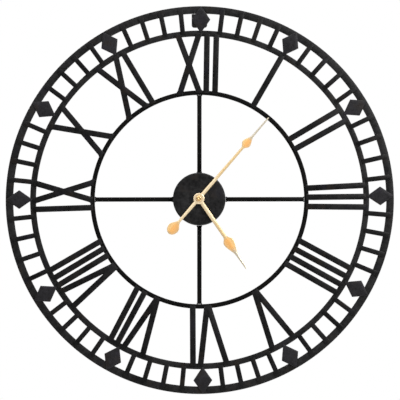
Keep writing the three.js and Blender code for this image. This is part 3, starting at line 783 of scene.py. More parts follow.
def ease_edges(shape: bmesh.types.BMesh, width: float, steps: int = 2, angle: float = 30.0) -> None:
    """Rounds the sharp edges of a mesh and marks the new faces in the layer for wear and painted
    highlight.

    Args:
        shape: The mesh to change.
        width: How far each rounding reaches, in millimetres.
        steps: The number of faces across it.
        angle: The least turn between two faces that counts as sharp, in degrees.
    """
    bmesh.ops.recalc_face_normals(shape, faces=shape.faces)
    limit = math.radians(angle)
    sharp = [e for e in shape.edges if len(e.link_faces) == 2 and e.calc_face_angle(0.0) > limit]
    layer = wear_and_light_layer(shape)
    made = bmesh.ops.bevel(
        shape, geom=sharp, offset=width, offset_type="OFFSET", segments=steps, profile=0.5,
        affect="EDGES", clamp_overlap=True,
    )
    for face in made["faces"]:
        face[layer] = 1.0


def mark_wear_and_light(shape: bmesh.types.BMesh, share: float = 1.0) -> None:
    """Marks every face of a mesh in the layer for wear and painted light, to some share."""
    layer = wear_and_light_layer(shape)
    for face in shape.faces:
        face[layer] = share


def piece_of(
    shape: bmesh.types.BMesh, name: str, body: Body, finish: Finish, sharp: float = 38.0
) -> Piece:
    """Writes a mesh into the scene as one dressed piece.

    Args:
        shape: The mesh in millimetres; it is used up.
        name: The piece's name.
        body: The moving group that it rides on.
        finish: The finish that it wears.
        sharp: The least turn between faces that stays a crisp edge, in degrees.

    Returns:
        The piece.
    """
    bmesh.ops.remove_doubles(shape, verts=shape.verts, dist=1e-4)
    bmesh.ops.recalc_face_normals(shape, faces=shape.faces)
    bmesh.ops.scale(shape, vec=Vector((MILLIMETRE,) * 3), verts=shape.verts)
    mesh = bpy.data.meshes.new(name)
    shape.to_mesh(mesh)
    shape.free()
    mesh.shade_smooth()
    mesh.set_sharp_from_angle(angle=math.radians(sharp))
    piece = bpy.data.objects.new(name, mesh)
    bpy.context.scene.collection.objects.link(piece)
    finish.onto(piece)
    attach(piece, body.value)
    LOG.info("%s: %d faces on %s", name, len(mesh.polygons), body.value)
    return piece


def eased_copy(
    node: str, name: str, body: Body, finish: Finish, width: float, steps: int = 2
) -> None:
    """Puts a copy of a CAD node, with its edges rounded, in the node's place.

    Args:
        node: The node to copy and to stand for.
        name: The new piece's name.
        body: The moving group that it rides on.
        finish: The finish that it wears.
        width: How far each rounding reaches, in millimetres.
        steps: The number of faces across each rounding.
    """
    shape = traced(node)
    ease_edges(shape, width, steps)
    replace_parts(piece_of(shape, name, body, finish), node)


def weld_piece(shape: bmesh.types.BMesh, name: str) -> None:
    """Makes one painted piece of a mesh of weld runs, lightened a little as a painted glint."""
    mark_wear_and_light(shape, WELD_GLINT)
    piece_of(shape, name, Body.FRAME, POWDER_COAT, sharp=WELD_SHARP)


def weld_run(
    shape: bmesh.types.BMesh, start: Vector, end: Vector, radius: float, dice: random.Random
) -> None:
    """Adds one short run of weld, a rippled bead that thins out at both ends.

    Args:
        shape: The mesh to add to.
        start: Where the run begins.
        end: Where it ends.
        radius: Its thickness at the middle.
        dice: The source of its unevenness.
    """
    along = (end - start).normalized()
    across = along.cross(Vector((0, 1, 0))).normalized()
    depth = Vector((0, -1, 0))
    ripples = max(6, round((end - start).length / 0.55))
    phase = dice.uniform(0, 2 * math.pi)
    sections = []
    for step in range(ripples + 1):
        share = step / ripples
        swell = math.sin(math.pi * (0.08 + 0.84 * share)) ** 0.5
        swell *= 1 + 0.16 * math.sin(phase + step * 2.1) + dice.uniform(-0.08, 0.08)
        middle = start.lerp(end, share) + across * dice.uniform(-0.06, 0.06)
        sections.append([
            middle + (across * math.cos(turn) + depth * math.sin(turn)) * radius * swell
            for turn in (2 * math.pi * k / 8 for k in range(8))
        ])
    loft(shape, sections)


# ------------------------------------------------------------------ sub-assemblies
class SubAssembly:
    """A group of pieces that is built and dressed together."""

    def build(self) -> None:
        """Makes the pieces that stand for the group's CAD nodes."""
        raise NotImplementedError

    def dress(self) -> None:
        """Gives the group's carried-over CAD nodes their finishes."""


@dataclass
class Rings(SubAssembly):
    """The three rolled bands: outer ring, chapter ring and inner ring."""

    outer_width: float = 11.7
    chapter_inner: float = 252.9
    chapter_outer: float = 262.0
    inner_width: float = 7.0
    edge: float = 0.55
    segments: int = 240

    def band(self, inner: float, outer: float, front: float, back: float) -> bmesh.types.BMesh:
        """One flat band with its corners taken off.

        Args:
            inner: Its inner radius.
            outer: Its outer radius.
            front: Y of its front face.
            back: Y of its rear face.

        Returns:
            The band.
        """
        profile = softened(rectangle(inner, outer, front, back), self.edge, 2)
        shape = lathe(profile, self.segments)
        layer = wear_and_light_layer(shape)
        middle, half = (inner + outer) / 2, (outer - inner) / 2
        for face in shape.faces:
            place = face.calc_center_median()
            far = abs(math.hypot(place.x, place.z) - middle) / half
            # Edge faces lightened as wear and painted highlight, most on the rounded front corners
            # where the light catches.
            if far > 0.9 and front + 0.05 < place.y < back - 0.05:
                face[layer] = 0.8 if place.y < front + self.edge else 0.25
        return shape

    def build(self) -> None:
        """Makes the three bands."""
        outer, track, inner = (Extent.of(n) for n in ("outer_ring", "minute_track", "inner_ring"))
        shape = self.band(outer.right - self.outer_width, outer.right, outer.front, outer.back)
        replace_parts(piece_of(shape, "outer_band", Body.FRAME, POWDER_COAT), "outer_ring")
        shape = self.band(self.chapter_inner, self.chapter_outer, inner.front, track.back)
        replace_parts(piece_of(shape, "chapter_band", Body.FRAME, POWDER_COAT), "minute_track")
        shape = self.band(inner.right - self.inner_width, inner.right, inner.front, inner.back)
        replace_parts(piece_of(shape, "inner_band", Body.FRAME, SHADED_COAT), "inner_ring")


@dataclass(frozen=True)
class HourSetting:
    """How far, in degrees, one hour's diamond and first rung stray, and the pitch of its rungs."""

    diamond: float
    rung: float
    pitch: float


@dataclass
class MinuteTrack(SubAssembly):
    """The ladder of rungs and the twelve hour diamonds, welded across the outer two bands."""

    rung_width: float = 7.5
    rungs_per_hour: int = 4
    nominal_pitch: float = 6.0
    start: float = 257.8
    rung_end: float = 297.0
    diamond_end: float = 300.0
    diamond_width: float = 29.2
    plate_thickness: float = 2.0
    crown: float = 0.35
    inner_weld: Flat = (258.4, 261.5)
    outer_weld: Flat = (289.1, 296.2)
    seed: int = 60
    settings: tuple[HourSetting, ...] = (
        HourSetting(0.5, 1.0, 5.9),
        HourSetting(0.3, 0.0, 6.2),
        HourSetting(-0.5, -1.5, 6.3),
        HourSetting(-1.0, -1.2, 6.0),
        HourSetting(-0.3, 0.5, 5.8),
        HourSetting(0.0, 0.0, 5.6),
        HourSetting(-1.1, -0.7, 5.8),
        HourSetting(-1.4, -1.3, 5.9),
        HourSetting(-1.5, -1.1, 6.4),
        HourSetting(0.0, 0.0, 5.9),
        HourSetting(0.2, 0.6, 6.0),
        HourSetting(0.0, 0.0, 6.1),
    )

    def rung_angles(self) -> list[float]:
        """The clockwise angle of every rung."""
        return [
            HOUR_STEP * hour + self.nominal_pitch + s.rung + count * s.pitch
            for hour, s in enumerate(self.settings)
            for count in range(self.rungs_per_hour)
        ]

    def diamond_angles(self) -> list[float]:
        """The clockwise angle of every diamond."""
        return [HOUR_STEP * hour + s.diamond for hour, s in enumerate(self.settings)]

    def rungs(self, back: float, front: float) -> bmesh.types.BMesh:
        """All the rungs, with eased edges.

        Args:
            back: Y of their rear faces.
            front: Y of their front faces.

        Returns:
            The rungs as one mesh.
        """
        shape = bmesh.new()
        half = self.rung_width / 2
        outline = rectangle(-half, half, self.start, self.rung_end)
        for angle in self.rung_angles():
            prism(shape, outline, back, front, angle)
        ease_edges(shape, 0.4)
        return shape

    def diamond(self, shape: bmesh.types.BMesh, angle: float, back: float, front: float) -> None:
        """Adds one diamond with a soft rim and a low crown.

        Args:
            shape: The mesh to add to.
            angle: Degrees clockwise from 12 o'clock.
            back: Y of its rear face.
            front: Y of the top of its crown.
        """
        matrix = clockwise(angle)
        middle = (self.start + self.diamond_end) / 2
        half_width, half_height = self.diamond_width / 2, (self.diamond_end - self.start) / 2
        rim = front + self.crown
        levels = (
            (1.0, back), (1.0, rim + 0.45), (0.985, rim + 0.15),
            (0.95, rim), (0.6, front + 0.1), (0.2, front),
        )
        rows = []
        for size, y in levels:
            corners = [(0, -half_height), (half_width, 0), (0, half_height), (-half_width, 0)]
            loop = []
            for i, (x, z) in enumerate(corners):
                nx, nz = corners[(i + 1) % 4]
                for share in (0.02, 0.5, 0.98):
                    px, pz = x + (nx - x) * share, z + (nz - z) * share
                    loop.append(matrix @ Vector((px * size, y, middle + pz * size)))
            rows.append(loop)
        made = loft(shape, rows)
        # The rim row is lightened as wear and painted highlight.
        layer = wear_and_light_layer(shape)
        for vertex in made[2]:
            for face in vertex.link_faces:
                face[layer] = 0.9

    def build(self) -> None:
        """Makes the rungs, the diamonds and the welds at their ends."""
        track = Extent.of("minute_track")
        front, back = track.front, track.front + self.plate_thickness
        rungs = piece_of(self.rungs(back, front), "minute_rungs", Body.FRAME, SHADED_BAR_COAT)
        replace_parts(rungs, "minute_track")
        shape = bmesh.new()
        for angle in self.diamond_angles():
            self.diamond(shape, angle, back, front)
        diamonds = piece_of(shape, "hour_diamonds", Body.FRAME, LIT_COAT, sharp=50.0)
        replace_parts(diamonds, "minute_track")
        self.build_welds(back)

    def build_welds(self, level: float) -> None:
        """Makes the weld runs beside the ends of the rungs.

        Args:
            level: Y of the corner between a rung and the bands.
        """
        shape = bmesh.new()
        dice = random.Random(self.seed)
        half = self.rung_width / 2
        spans = ((self.inner_weld, level - 0.15), (self.outer_weld, level + 0.1))
        for angle in self.rung_angles():
            matrix = clockwise(angle)
            for side in (-1, 1):
                for (low, high), y in spans:
                    low, high = low + dice.uniform(0, 0.6), high - dice.uniform(0, 1.6)
                    start, end = (matrix @ Vector((side * half, y, z)) for z in (low, high))
                    weld_run(shape, start, end, dice.uniform(0.55, 0.85), dice)
        weld_piece(shape, "rung_welds")


@dataclass
class Numerals(SubAssembly):
    """The Roman numerals: flat bars welded across the chapter ring and the inner ring."""

    bar_width: float = 9.0
    stroke_step: float = 8.5
    foot_radius: float = 168.8
    top_radius: float = 252.9
    foot_lap: float = 4.0
    top_lap: float = 4.4
    weld_sink: float = 0.2
    seed: int = 12
    edge: float = 0.45
    strokes: tuple[tuple[Flat, ...], ...] = (
        ((-3.45, -0.2), (-0.14, -3.75), (1.25, 1.4), (2.85, 3.1)),
        ((0, 0),),
        ((-1.25, -1.35), (0.8, 0.95)),
        ((-2, -2.5), (-0.35, -0.45), (1.35, 1.45)),
        ((-2.55, -2.8), (-0.85, -1.15), (0.75, 0.6), (2.3, 2.25)),
        ((-0.55, -2.2), (-0.2, 2)),
        ((-1.75, -4.85), (-1.35, -0.25), (1.2, 1.15)),
        ((-2.5, -5.15), (-2.35, -1.55), (0.15, -0.15), (1.7, 1.25)),
        ((-3.05, -5.3), (-2.65, -1.95), (-0.5, -0.7), (0.95, 0.8), (2.4, 2.4)),
        ((-1.5, -1.8), (0, 2.9), (3, -0.15)),
        ((-1.7, 1.9), (1.85, -1.85)),
        ((-3.55, -0.3), (0, -4), (1.45, 1.3)),
    )

    def nodes(self) -> list[str]:
        """The CAD nodes of all the numeral pieces."""
        return sorted(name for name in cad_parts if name.startswith("numeral_"))

    def build(self) -> None:
        """Makes every numeral piece with eased edges, then the welds at the ends of the bars."""
        for node in self.nodes():
            eased_copy(node, "dial_" + node, Body.FRAME, SHADED_BAR_COAT, self.edge)
        self.build_welds(Extent.of("inner_ring").front)

    def build_welds(self, level: float) -> None:
        """Makes the weld runs along both sides of every bar where it crosses a band.

        Args:
            level: Y of the bands' front faces.
        """
        shape = bmesh.new()
        dice = random.Random(self.seed)
        y = level - self.weld_sink
        for hour, strokes in enumerate(self.strokes):
            matrix = clockwise(HOUR_STEP * hour)
            for foot, top in strokes:
                x0, x1 = foot * self.stroke_step, top * self.stroke_step
                low = Vector((x0, y, math.sqrt(self.foot_radius**2 - x0**2)))
                high = Vector((x1, y, math.sqrt(self.top_radius**2 - x1**2)))
                along = (high - low).normalized()
                across = Vector((along.z, 0, -along.x)) * self.bar_width / 2
                for side in (-1, 1):
                    for base, reach in ((low, -self.foot_lap), (high, self.top_lap)):
                        start = base + across * side + along * reach * dice.uniform(0.05, 0.2)
                        end = base + across * side + along * reach * dice.uniform(0.7, 0.9)
                        weld_run(shape, matrix @ start, matrix @ end, dice.uniform(0.6, 0.95), dice)
        weld_piece(shape, "numeral_welds")


@dataclass
class Spokes(SubAssembly):
    """The four spokes from the hub to the inner ring, and the keyhole plate at the top."""

    hours: tuple[int, ...] = (12, 3, 6, 9)
    width: float = 6.8
    edge: float = 0.4
    plate_edge: float = 0.25
    spoke_bead: float = 0.9
    plate_bead: float = 0.5
    seed: int = 4

    def build(self) -> None:
        """Makes the spokes, their welds and the hanger plate."""
        for hour in self.hours:
            node = f"spoke_{hour:02d}"
            eased_copy(node, "dial_" + node, Body.FRAME, SHADED_COAT, self.edge)
        eased_copy("hanger_plate", "keyhole_plate", Body.FRAME, POWDER_COAT, self.plate_edge)
        self.build_welds()

    def build_welds(self) -> None:
        """Makes the weld runs at both ends of every spoke and along the hanger plate."""
        shape = bmesh.new()
        dice = random.Random(self.seed)
        spoke, hub, ring = Extent.of("spoke_12"), Extent.of("hub_cup"), Extent.of("inner_ring")
        y = (spoke.front + spoke.back) / 2 - 0.9
        spans = ((hub.right + 0.1, hub.right + 2.4), (ring.right - 9.0, ring.right - 6.9))
        for hour in self.hours:
            matrix = clockwise(HOUR_STEP * hour)
            for side in (-1, 1):
                x = side * self.width / 2
                for span in spans:
                    start, end = (matrix @ Vector((x, y, z)) for z in span)
                    weld_run(shape, start, end, self.spoke_bead, dice)
        plate = Extent.of("hanger_plate")
        for side in (-1, 1):
            x = side * (plate.right - 0.4)
            start, end = Vector((x, -0.6, plate.top - 2.5)), Vector((x, -0.6, plate.top - 0.2))
            weld_run(shape, start, end, self.plate_bead, dice)
        weld_piece(shape, "spoke_welds")


@dataclass
class Hub(SubAssembly):
    """The round cup that hides the movement, and the fixing that clamps the movement to it."""

    wall: float = 1.0
    edge: float = 2.0
    bore: float = 4.7
    thread_pitch: float = 0.7
    thread_depth: float = 0.32
    segments: int = 192
    bore_land: float = 0.6
    press_ring: tuple[float, ...] = (15.0, 15.4, 16.0, 16.4)
    press_depth: float = 0.12
    roll_steps: int = 8
    bush_radius: float = 4.0
    bush_bore: float = 2.6
    collar_thickness: float = 0.6
    clamped_bore: float = 4.3
    nut_chamfer: float = 0.55
    nut_segments: int = 96
    turned_segments: int = 72

    def cup(self) -> bmesh.types.BMesh:
        """The spun steel cup: a flat face with a faint press ring, a rolled edge and a soft rim."""
        box = Extent.of("hub_cup")
        radius, front, back = box.right, box.front, box.back
        profile = [(self.bore, front), (self.bore + self.bore_land, front)]
        depths = (0.0, self.press_depth, self.press_depth, 0.0)
        profile += [(r, front + depth) for r, depth in zip(self.press_ring, depths)]
        for step in range(self.roll_steps + 1):
            angle = math.pi / 2 * step / self.roll_steps
            r = radius - self.edge + self.edge * math.sin(angle)
            profile.append((r, front + self.edge - self.edge * math.cos(angle)))
        profile += [(radius, back - 0.35), (radius - 0.3, back), (radius - self.wall + 0.3, back)]
        profile += [(radius - self.wall, back - 0.35), (radius - self.wall, front + self.edge)]
        profile += [(radius - self.edge, front + self.wall), (self.bore, front + self.wall)]
        return lathe(profile, self.segments)

    def bush(self) -> bmesh.types.BMesh:
        """The threaded bush with its collar."""
        box = Extent.of("centre_bush")
        outer, collar, bore = self.bush_radius, box.right, self.bush_bore
        collar_front = Extent.of("movement_case").front - 0.9
        profile = [(bore, box.front + 0.2), (bore + 0.25, box.front), (outer - 0.35, box.front)]
        y = box.front + 0.3
        while y < collar_front - self.thread_pitch:
            profile += [(outer, y), (outer - self.thread_depth, y + self.thread_pitch / 2)]
            y += self.thread_pitch
        collar_back = collar_front + self.collar_thickness
        profile += [(outer, collar_front), (collar, collar_front), (collar, collar_back)]
        profile += [(outer, collar_back), (outer, box.back), (bore, box.back)]
        return lathe(profile, self.turned_segments)

    def nut(self) -> bmesh.types.BMesh:
        """The hexagon nut with chamfered corners and a thread entry."""
        box = Extent.of("fixing_nut")
        corner = (box.top - box.bottom) / 2
        flat = corner * math.cos(math.pi / 6)
        bore, chamfer, sides = self.clamped_bore, self.nut_chamfer, self.nut_segments
        shape = bmesh.new()
        rows = []
        for radius_of, y in (
            (lambda hexed: bore, box.back - 0.3), (lambda hexed: bore + 0.35, box.back),
            (lambda hexed: min(hexed, flat) - 0.15, box.back),
            (lambda hexed: hexed, box.back - chamfer), (lambda hexed: hexed, box.front + chamfer),
            (lambda hexed: min(hexed, flat) - 0.15, box.front),
            (lambda hexed: bore + 0.35, box.front), (lambda hexed: bore, box.front + 0.3),
        ):
            row = []
            for step in range(sides):
                angle = 2 * math.pi * step / sides
                within = (angle + math.pi / 6) % (math.pi / 3) - math.pi / 6
                radius = radius_of(flat / math.cos(within))
                row.append(shape.verts.new((radius * math.cos(angle), y, radius * math.sin(angle))))
            rows.append(row)
        for first, second in zip(rows, rows[1:] + rows[:1]):
            faces_between(shape, first, second)
        return shape

    def build(self) -> None:
        """Makes the cup, bush, washers and nut."""
        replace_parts(piece_of(self.cup(), "hub_shell", Body.FRAME, POWDER_COAT), "hub_cup")
        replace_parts(piece_of(self.bush(), "threaded_bush", Body.FRAME, BRASS), "centre_bush")
        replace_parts(piece_of(self.nut(), "hexagon_nut", Body.FRAME, BRASS), "fixing_nut")
        for node, finish in (("rubber_washer", RUBBER), ("brass_washer", BRASS)):
            box = Extent.of(node)
            corners = rectangle(self.clamped_bore, box.right, box.front, box.back)
            shape = lathe(softened(corners, 0.2), self.turned_segments)
            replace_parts(piece_of(shape, "turned_" + node, Body.FRAME, finish), node)


@dataclass
class Movement(SubAssembly):
    """The quartz movement: moulded case and cover, setting knob, cell and its contacts."""

    cell_radius: float = 7.1
    cell_segments: int = 72
    rib_places: tuple[float, ...] = (-17.0, -5.5, 5.5, 17.0)
    rib_offset: float = 4.2
    rib_half: Flat = (0.5, 2.2)
    arc_spans: tuple[Flat, ...] = ((35, 150), (205, 320))
    arc_radius: float = 7.2
    arc_steps: int = 14

    def case(self) -> None:
        """Makes the moulded case, and the ribs on the floor of the cell bay."""
        eased_copy("movement_case", "case_moulding", Body.FRAME, BLACK_CASE, 0.3)
        cell, box = Extent.of("battery"), Extent.of("movement_case")
        shape = bmesh.new()
        floor = box.front + 1.55
        middle = (cell.bottom + cell.top) / 2
        wide, tall = self.rib_half
        for offset in (-self.rib_offset, self.rib_offset):
            for x in self.rib_places:
                z = middle + offset
                outline = rectangle(x - wide, x + wide, z - tall, z + tall)
                prism(shape, outline, floor + 0.9, floor - 0.2)
        ease_edges(shape, 0.2)
        piece_of(shape, "cell_bay_ribs", Body.FRAME, BLACK_CASE)

    def cover(self) -> None:
        """Makes the cover, the two raised arcs round the knob and the two clips."""
        eased_copy("movement_cover", "cover_moulding", Body.FRAME, BLACK_CASE, 0.25)
        cover, knob = Extent.of("movement_cover"), Extent.of("setting_knob")
        shape = bmesh.new()
        centre = ((knob.left + knob.right) / 2, (knob.bottom + knob.top) / 2)
        face = cover.back
        section = rectangle(-0.3, 0.3, -0.2, 0.3)
        for start, end in self.arc_spans:
            sections = []
            for step in range(self.arc_steps + 1):
                angle = math.radians(start + (end - start) * step / self.arc_steps)
                radial = Vector((math.cos(angle), 0, math.sin(angle)))
                middle = Vector((centre[0], face - 0.35, centre[1])) + radial * self.arc_radius
                sections.append([middle + radial * a + Vector((0, b, 0)) for a, b in section])
            loft(shape, sections)
        for x in (cover.left + 7, cover.right - 7):
            outline = rectangle(x - 3, x + 3, cover.top - 2.6, cover.top - 0.9)
            prism(shape, outline, face - 0.05, face - 1.2)
        ease_edges(shape, 0.12)
        piece_of(shape, "cover_details", Body.FRAME, BLACK_CASE)

    def knob(self) -> None:
        """Makes the setting knob with eased lobes."""
        eased_copy("setting_knob", "knob_moulding", Body.SETTING_KNOB, WHITE_GEARS, 0.12, 1)

    def cell(self) -> None:
        """Makes the cell: sleeve rolled over at both ends, bare caps, crimp groove and nub."""
        box = Extent.of("battery")
        radius = self.cell_radius
        left, right = box.left, box.right
        middle = ((box.front + box.back) / 2, (box.bottom + box.top) / 2)
        stations = [
            (left, 0.0), (left, 3.2), (left + 0.25, 3.6), (left + 0.25, 5.8),
            (left + 0.05, 6.1), (left + 0.05, 6.6), (left + 0.5, radius), (left + 2.2, radius),
            (left + 2.5, radius - 0.12), (left + 2.9, radius), (right - 4.0, radius),
            (right - 3.6, radius - 0.15), (right - 3.2, radius), (right - 1.6, radius),
            (right - 1.05, 6.6), (right - 1.05, 6.0), (right - 1.4, 5.6), (right - 1.4, 3.4),
            (right - 1.0, 2.75), (right - 0.35, 2.7), (right, 2.3), (right, 0.0),
        ]
        shape = bmesh.new()
        layer = wear_and_light_layer(shape)
        segments = self.cell_segments
        angles = [2 * math.pi * k / segments for k in range(segments)]
        rows = [
            [
                shape.verts.new((x, middle[0] + r * math.cos(a), middle[1] + r * math.sin(a)))
                for a in angles
            ]
            for x, r in stations
        ]
        for index, (first, second) in enumerate(zip(rows, rows[1:])):
            known = set(shape.faces)
            faces_between(shape, first, second)
            bare = min(stations[index][1], stations[index + 1][1]) < 6.05
            for face in set(shape.faces) - known:
                face[layer] = 1.0 if bare else 0.0
        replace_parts(piece_of(shape, "dry_cell", Body.BATTERY, CELL_JACKET), "battery")

    def contacts(self) -> None:
        """Makes the two spring contacts with their edges eased."""
        for node in ("contact_positive", "contact_negative"):
            eased_copy(node, "sprung_" + node, Body.FRAME, STEEL, 0.12)

    def build(self) -> None:
        """Makes what shows of the movement from behind."""
        self.case()
        self.cover()
        self.knob()
        self.cell()
        self.contacts()

    def dress(self) -> None:
        """Finishes the carried-over train, motor and electronics."""
        finishes = {
            "gear_plate": WHITE_GEARS, "minute_wheel": WHITE_GEARS, "third_wheel": WHITE_GEARS,
            "centre_arbor": STEEL, "hour_wheel": BRASS, "rotor": STEEL, "stator": STEEL,
            "coil": WINDING, "circuit_board": BOARD, "quartz_crystal": STEEL,
        }
        for node, finish in finishes.items():
            finish.onto(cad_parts[node])
            LOG.info("%s: %s", node, finish.name)


@dataclass(frozen=True)
class Swelling:
    """A part of a hand that widens to a middle and then narrows or rounds off; places are radii."""

    start: float
    middle: float
    end: float
    width: float
    round_end: bool = False

    def half(self, radius: float, start_half: float, end_half: float) -> float:
        """Half the width at a radius.

        Args:
            radius: The distance from the hand axis.
            start_half: Half the width at the start.
            end_half: Half the width at the end.

        Returns:
            Half the width there.
        """
        if radius <= self.middle:
            part, low = (radius - self.start) / (self.middle - self.start), start_half
        elif self.round_end:
            share = (radius - self.middle) / (self.end - self.middle)
            return self.width / 2 * math.sqrt(max(0.0, 1 - share**2))
        else:
            part, low = (self.end - radius) / (self.end - self.middle), end_half
        return low + (self.width / 2 - low) * (1 - math.cos(math.pi * part)) / 2


@dataclass
class Hand(SubAssembly):
    """One spade hand: a ridged blade, a rimmed spade, a grooved boss and perhaps a tail."""

    node: str
    body: Body
    angle: float
    tip: float
    shaft_width: float
    neck_width: float
    spade: Swelling
    needle_width: float
    tip_width: float
    bore: float
    tail: Swelling | None = None
    boss_radius: float = 8.4
    least_half: float = 0.12
    paling: Flat = (36.0, 50.0)
    curve_steps: int = 26
    station_step: float = 6.0
    groove: Flat = (5.2, 6.1)

    def half_width(self, radius: float) -> float:
        """Half the width of the blade at a signed radius, negative on the tail side."""
        neck, shaft, needle = self.neck_width / 2, self.shaft_width / 2, self.needle_width / 2
        if radius < 0 and self.tail:
            if -radius <= self.tail.start:
                return shaft + (neck - shaft) * -radius / self.tail.start
            return max(self.least_half, self.tail.half(-radius, neck, 0.0))
        if radius <= self.spade.start:
            return shaft + (neck - shaft) * radius / self.spade.start
        if radius <= self.spade.end:
            return self.spade.half(radius, neck, needle)
        along = (radius - self.spade.end) / (self.tip - self.spade.end)
        return needle + (self.tip_width / 2 - needle) * along

    def swell(self, radius: float) -> float:
        """How much of a spade or tail a station is, 0 on the shaft to 1 at the widest."""
        for swelling in (self.spade, self.tail):
            if swelling is None:
                continue
            place = -radius if swelling is self.tail else radius
            if swelling.start < place < swelling.end:
                wide, neck = swelling.width / 2, self.neck_width / 2
                share = (self.half_width(radius) - neck) / (wide - neck)
                return min(1.0, max(0.0, share * 1.3))
        return 0.0

    def round_rim(self, radius: float) -> float:
        """How near a station is to the round end of the tail, 0 at its widest to 1 at the end."""
        if not (self.tail and self.tail.round_end) or -radius < self.tail.middle:
            return 0.0
        return ramp(-radius, self.tail.middle, self.tail.end) ** 2

    def stations(self) -> list[float]:
        """The radii at which the blade's section is drawn, closer together on the curves."""
        marks = {0.0, self.tip, self.spade.start}
        spans = [(self.spade.start, self.spade.end)]
        low = 0.0
        if self.tail:
            low = -self.tail.end
            marks |= {low, -self.tail.start}
            spans.append((-self.tail.end, -self.tail.start))
        count = self.curve_steps
        for start, end in spans:
            marks |= {start + (end - start) * k / count for k in range(count + 1)}
        if self.tail and self.tail.round_end:
            reach = self.tail.end - self.tail.middle
            marks |= {-self.tail.middle - reach * math.cos(math.pi / 2 * k / 10) for k in range(10)}
        step = low
        while step < self.tip:
            marks.add(step)
            step += self.station_step
        return sorted(marks)

    def blade(self, front: float, back: float) -> bmesh.types.BMesh:
        """The blade, pointing to 12 o'clock.

        Args:
            front: Y of the ridge.
            back: Y of the flat rear face.

        Returns:
            The blade, with its spade share painted on.
        """
        shape = bmesh.new()
        layers = [shape.verts.layers.float.new(name) for name in (SPADE, EDGE, SIDE, REACH, NEEDLE)]
        thickness = back - front
        shares = (-1.0, -0.93, -0.8, -0.62, -0.35, 0.0, 0.35, 0.62, 0.8, 0.93, 1.0)
        ridge = (0.25, 0.33, 0.45, 0.6, 0.8, 1.0)
        rimmed = (0.5, 0.78, 0.84, 0.6, 0.72, 1.0)
        stations = self.stations()
        sections = []
        for radius in stations:
            half, swell = self.half_width(radius), self.swell(radius)
            points = [Vector((-half, back, radius))]
            for index, share in enumerate(shares):
                level = min(index, len(shares) - 1 - index)
                height = (ridge[level] * (1 - swell) + rimmed[level] * swell) * thickness
                points.append(Vector((share * half, back - height, radius)))
            points.append(Vector((half, back, radius)))
            sections.append(points)
        rows = loft(shape, sections)
        for radius, row in zip(stations, rows):
            half = max(self.least_half, self.half_width(radius))
            for vertex in row:
                across = max(-1.0, min(1.0, vertex.co.x / half))
                # The edge and side shares steer the painted shade and highlight across the blade.
                tones = (
                    self.swell(radius),
                    max(across**2, self.round_rim(radius)),
                    (across + 1) / 2,
                    ramp(abs(radius), *self.paling),
                    ramp(radius, self.spade.middle, self.spade.end),
                )
                for layer, tone in zip(layers, tones):
                    vertex[layer] = tone
        return shape

    def boss(self, front: float, back: float) -> bmesh.types.BMesh:
        """The round boss with a grooved ring and a soft rim.

        Args:
            front: Y of the blade's ridge.
            back: Y of the boss's rear face.

        Returns:
            The boss.
        """
        r = self.boss_radius
        profile = [
            (self.bore, back), (r - 0.25, back), (r, back - 0.25), (r, front + 0.05),
            (r - 0.3, front - 0.15), (r - 1.2, front - 0.25), (6.2, front - 0.25),
            (5.9, front + 0.1), (5.4, front + 0.1), (5.1, front - 0.2), (self.bore, front - 0.2),
        ]
        shape = lathe(profile, 96)
        # Faces of the grooved ring are marked for painted shade in the groove.
        layer = wear_and_light_layer(shape)
        for face in shape.faces:
            place = face.calc_center_median()
            reach = math.hypot(place.x, place.z)
            if self.groove[0] < reach < self.groove[1] and place.y < front + 0.2:
                face[layer] = 0.45
        return shape

    def build(self) -> None:
        """Makes the blade and the boss and turns them to the hand's angle."""
        box = Extent.of(self.node)
        turn = clockwise(self.angle)
        blade = self.blade(box.front, box.back)
        bmesh.ops.transform(blade, matrix=turn, verts=blade.verts)
        piece = piece_of(blade, self.node + "_blade", self.body, PALE_GOLD, sharp=60.0)
        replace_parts(piece, self.node)
        boss = self.boss(box.front, box.back)
        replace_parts(piece_of(boss, self.node + "_boss", self.body, PALE_GOLD), self.node)


@dataclass
class HandNut(SubAssembly):
    """The closed nut that holds the hands on, with a knurled edge and a centre dimple."""

    knurls: int = 36
    knurl_depth: float = 0.12
    bore: float = 1.9
    cap_thickness: float = 1.0

    def build(self) -> None:
        """Makes the nut."""
        box = Extent.of("hand_nut")
        radius, front, back = box.right, box.front, box.back
        profile = [
            (self.bore, back), (radius - 0.15, back), (radius, back - 0.2), (radius, front + 0.9),
            (radius - 0.35, front + 0.4), (radius - 0.8, front + 0.12), (2.2, front + 0.02),
            (1.5, front), (1.15, front + 0.3), (0.0, front + 0.42),
            (0.0, front + self.cap_thickness), (self.bore, front + self.cap_thickness),
        ]
        shape = lathe(profile, self.knurls * 4)
        for vertex in shape.verts:
            reach = math.hypot(vertex.co.x, vertex.co.z)
            if reach > radius - 0.05:
                angle = math.atan2(vertex.co.z, vertex.co.x)
                trim = 1 - self.knurl_depth * (0.5 - 0.5 * math.cos(angle * self.knurls)) / reach
                vertex.co.x *= trim
                vertex.co.z *= trim
        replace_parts(piece_of(shape, "hand_cap_nut", Body.MINUTE_HAND, GOLD_NUT), "hand_nut")


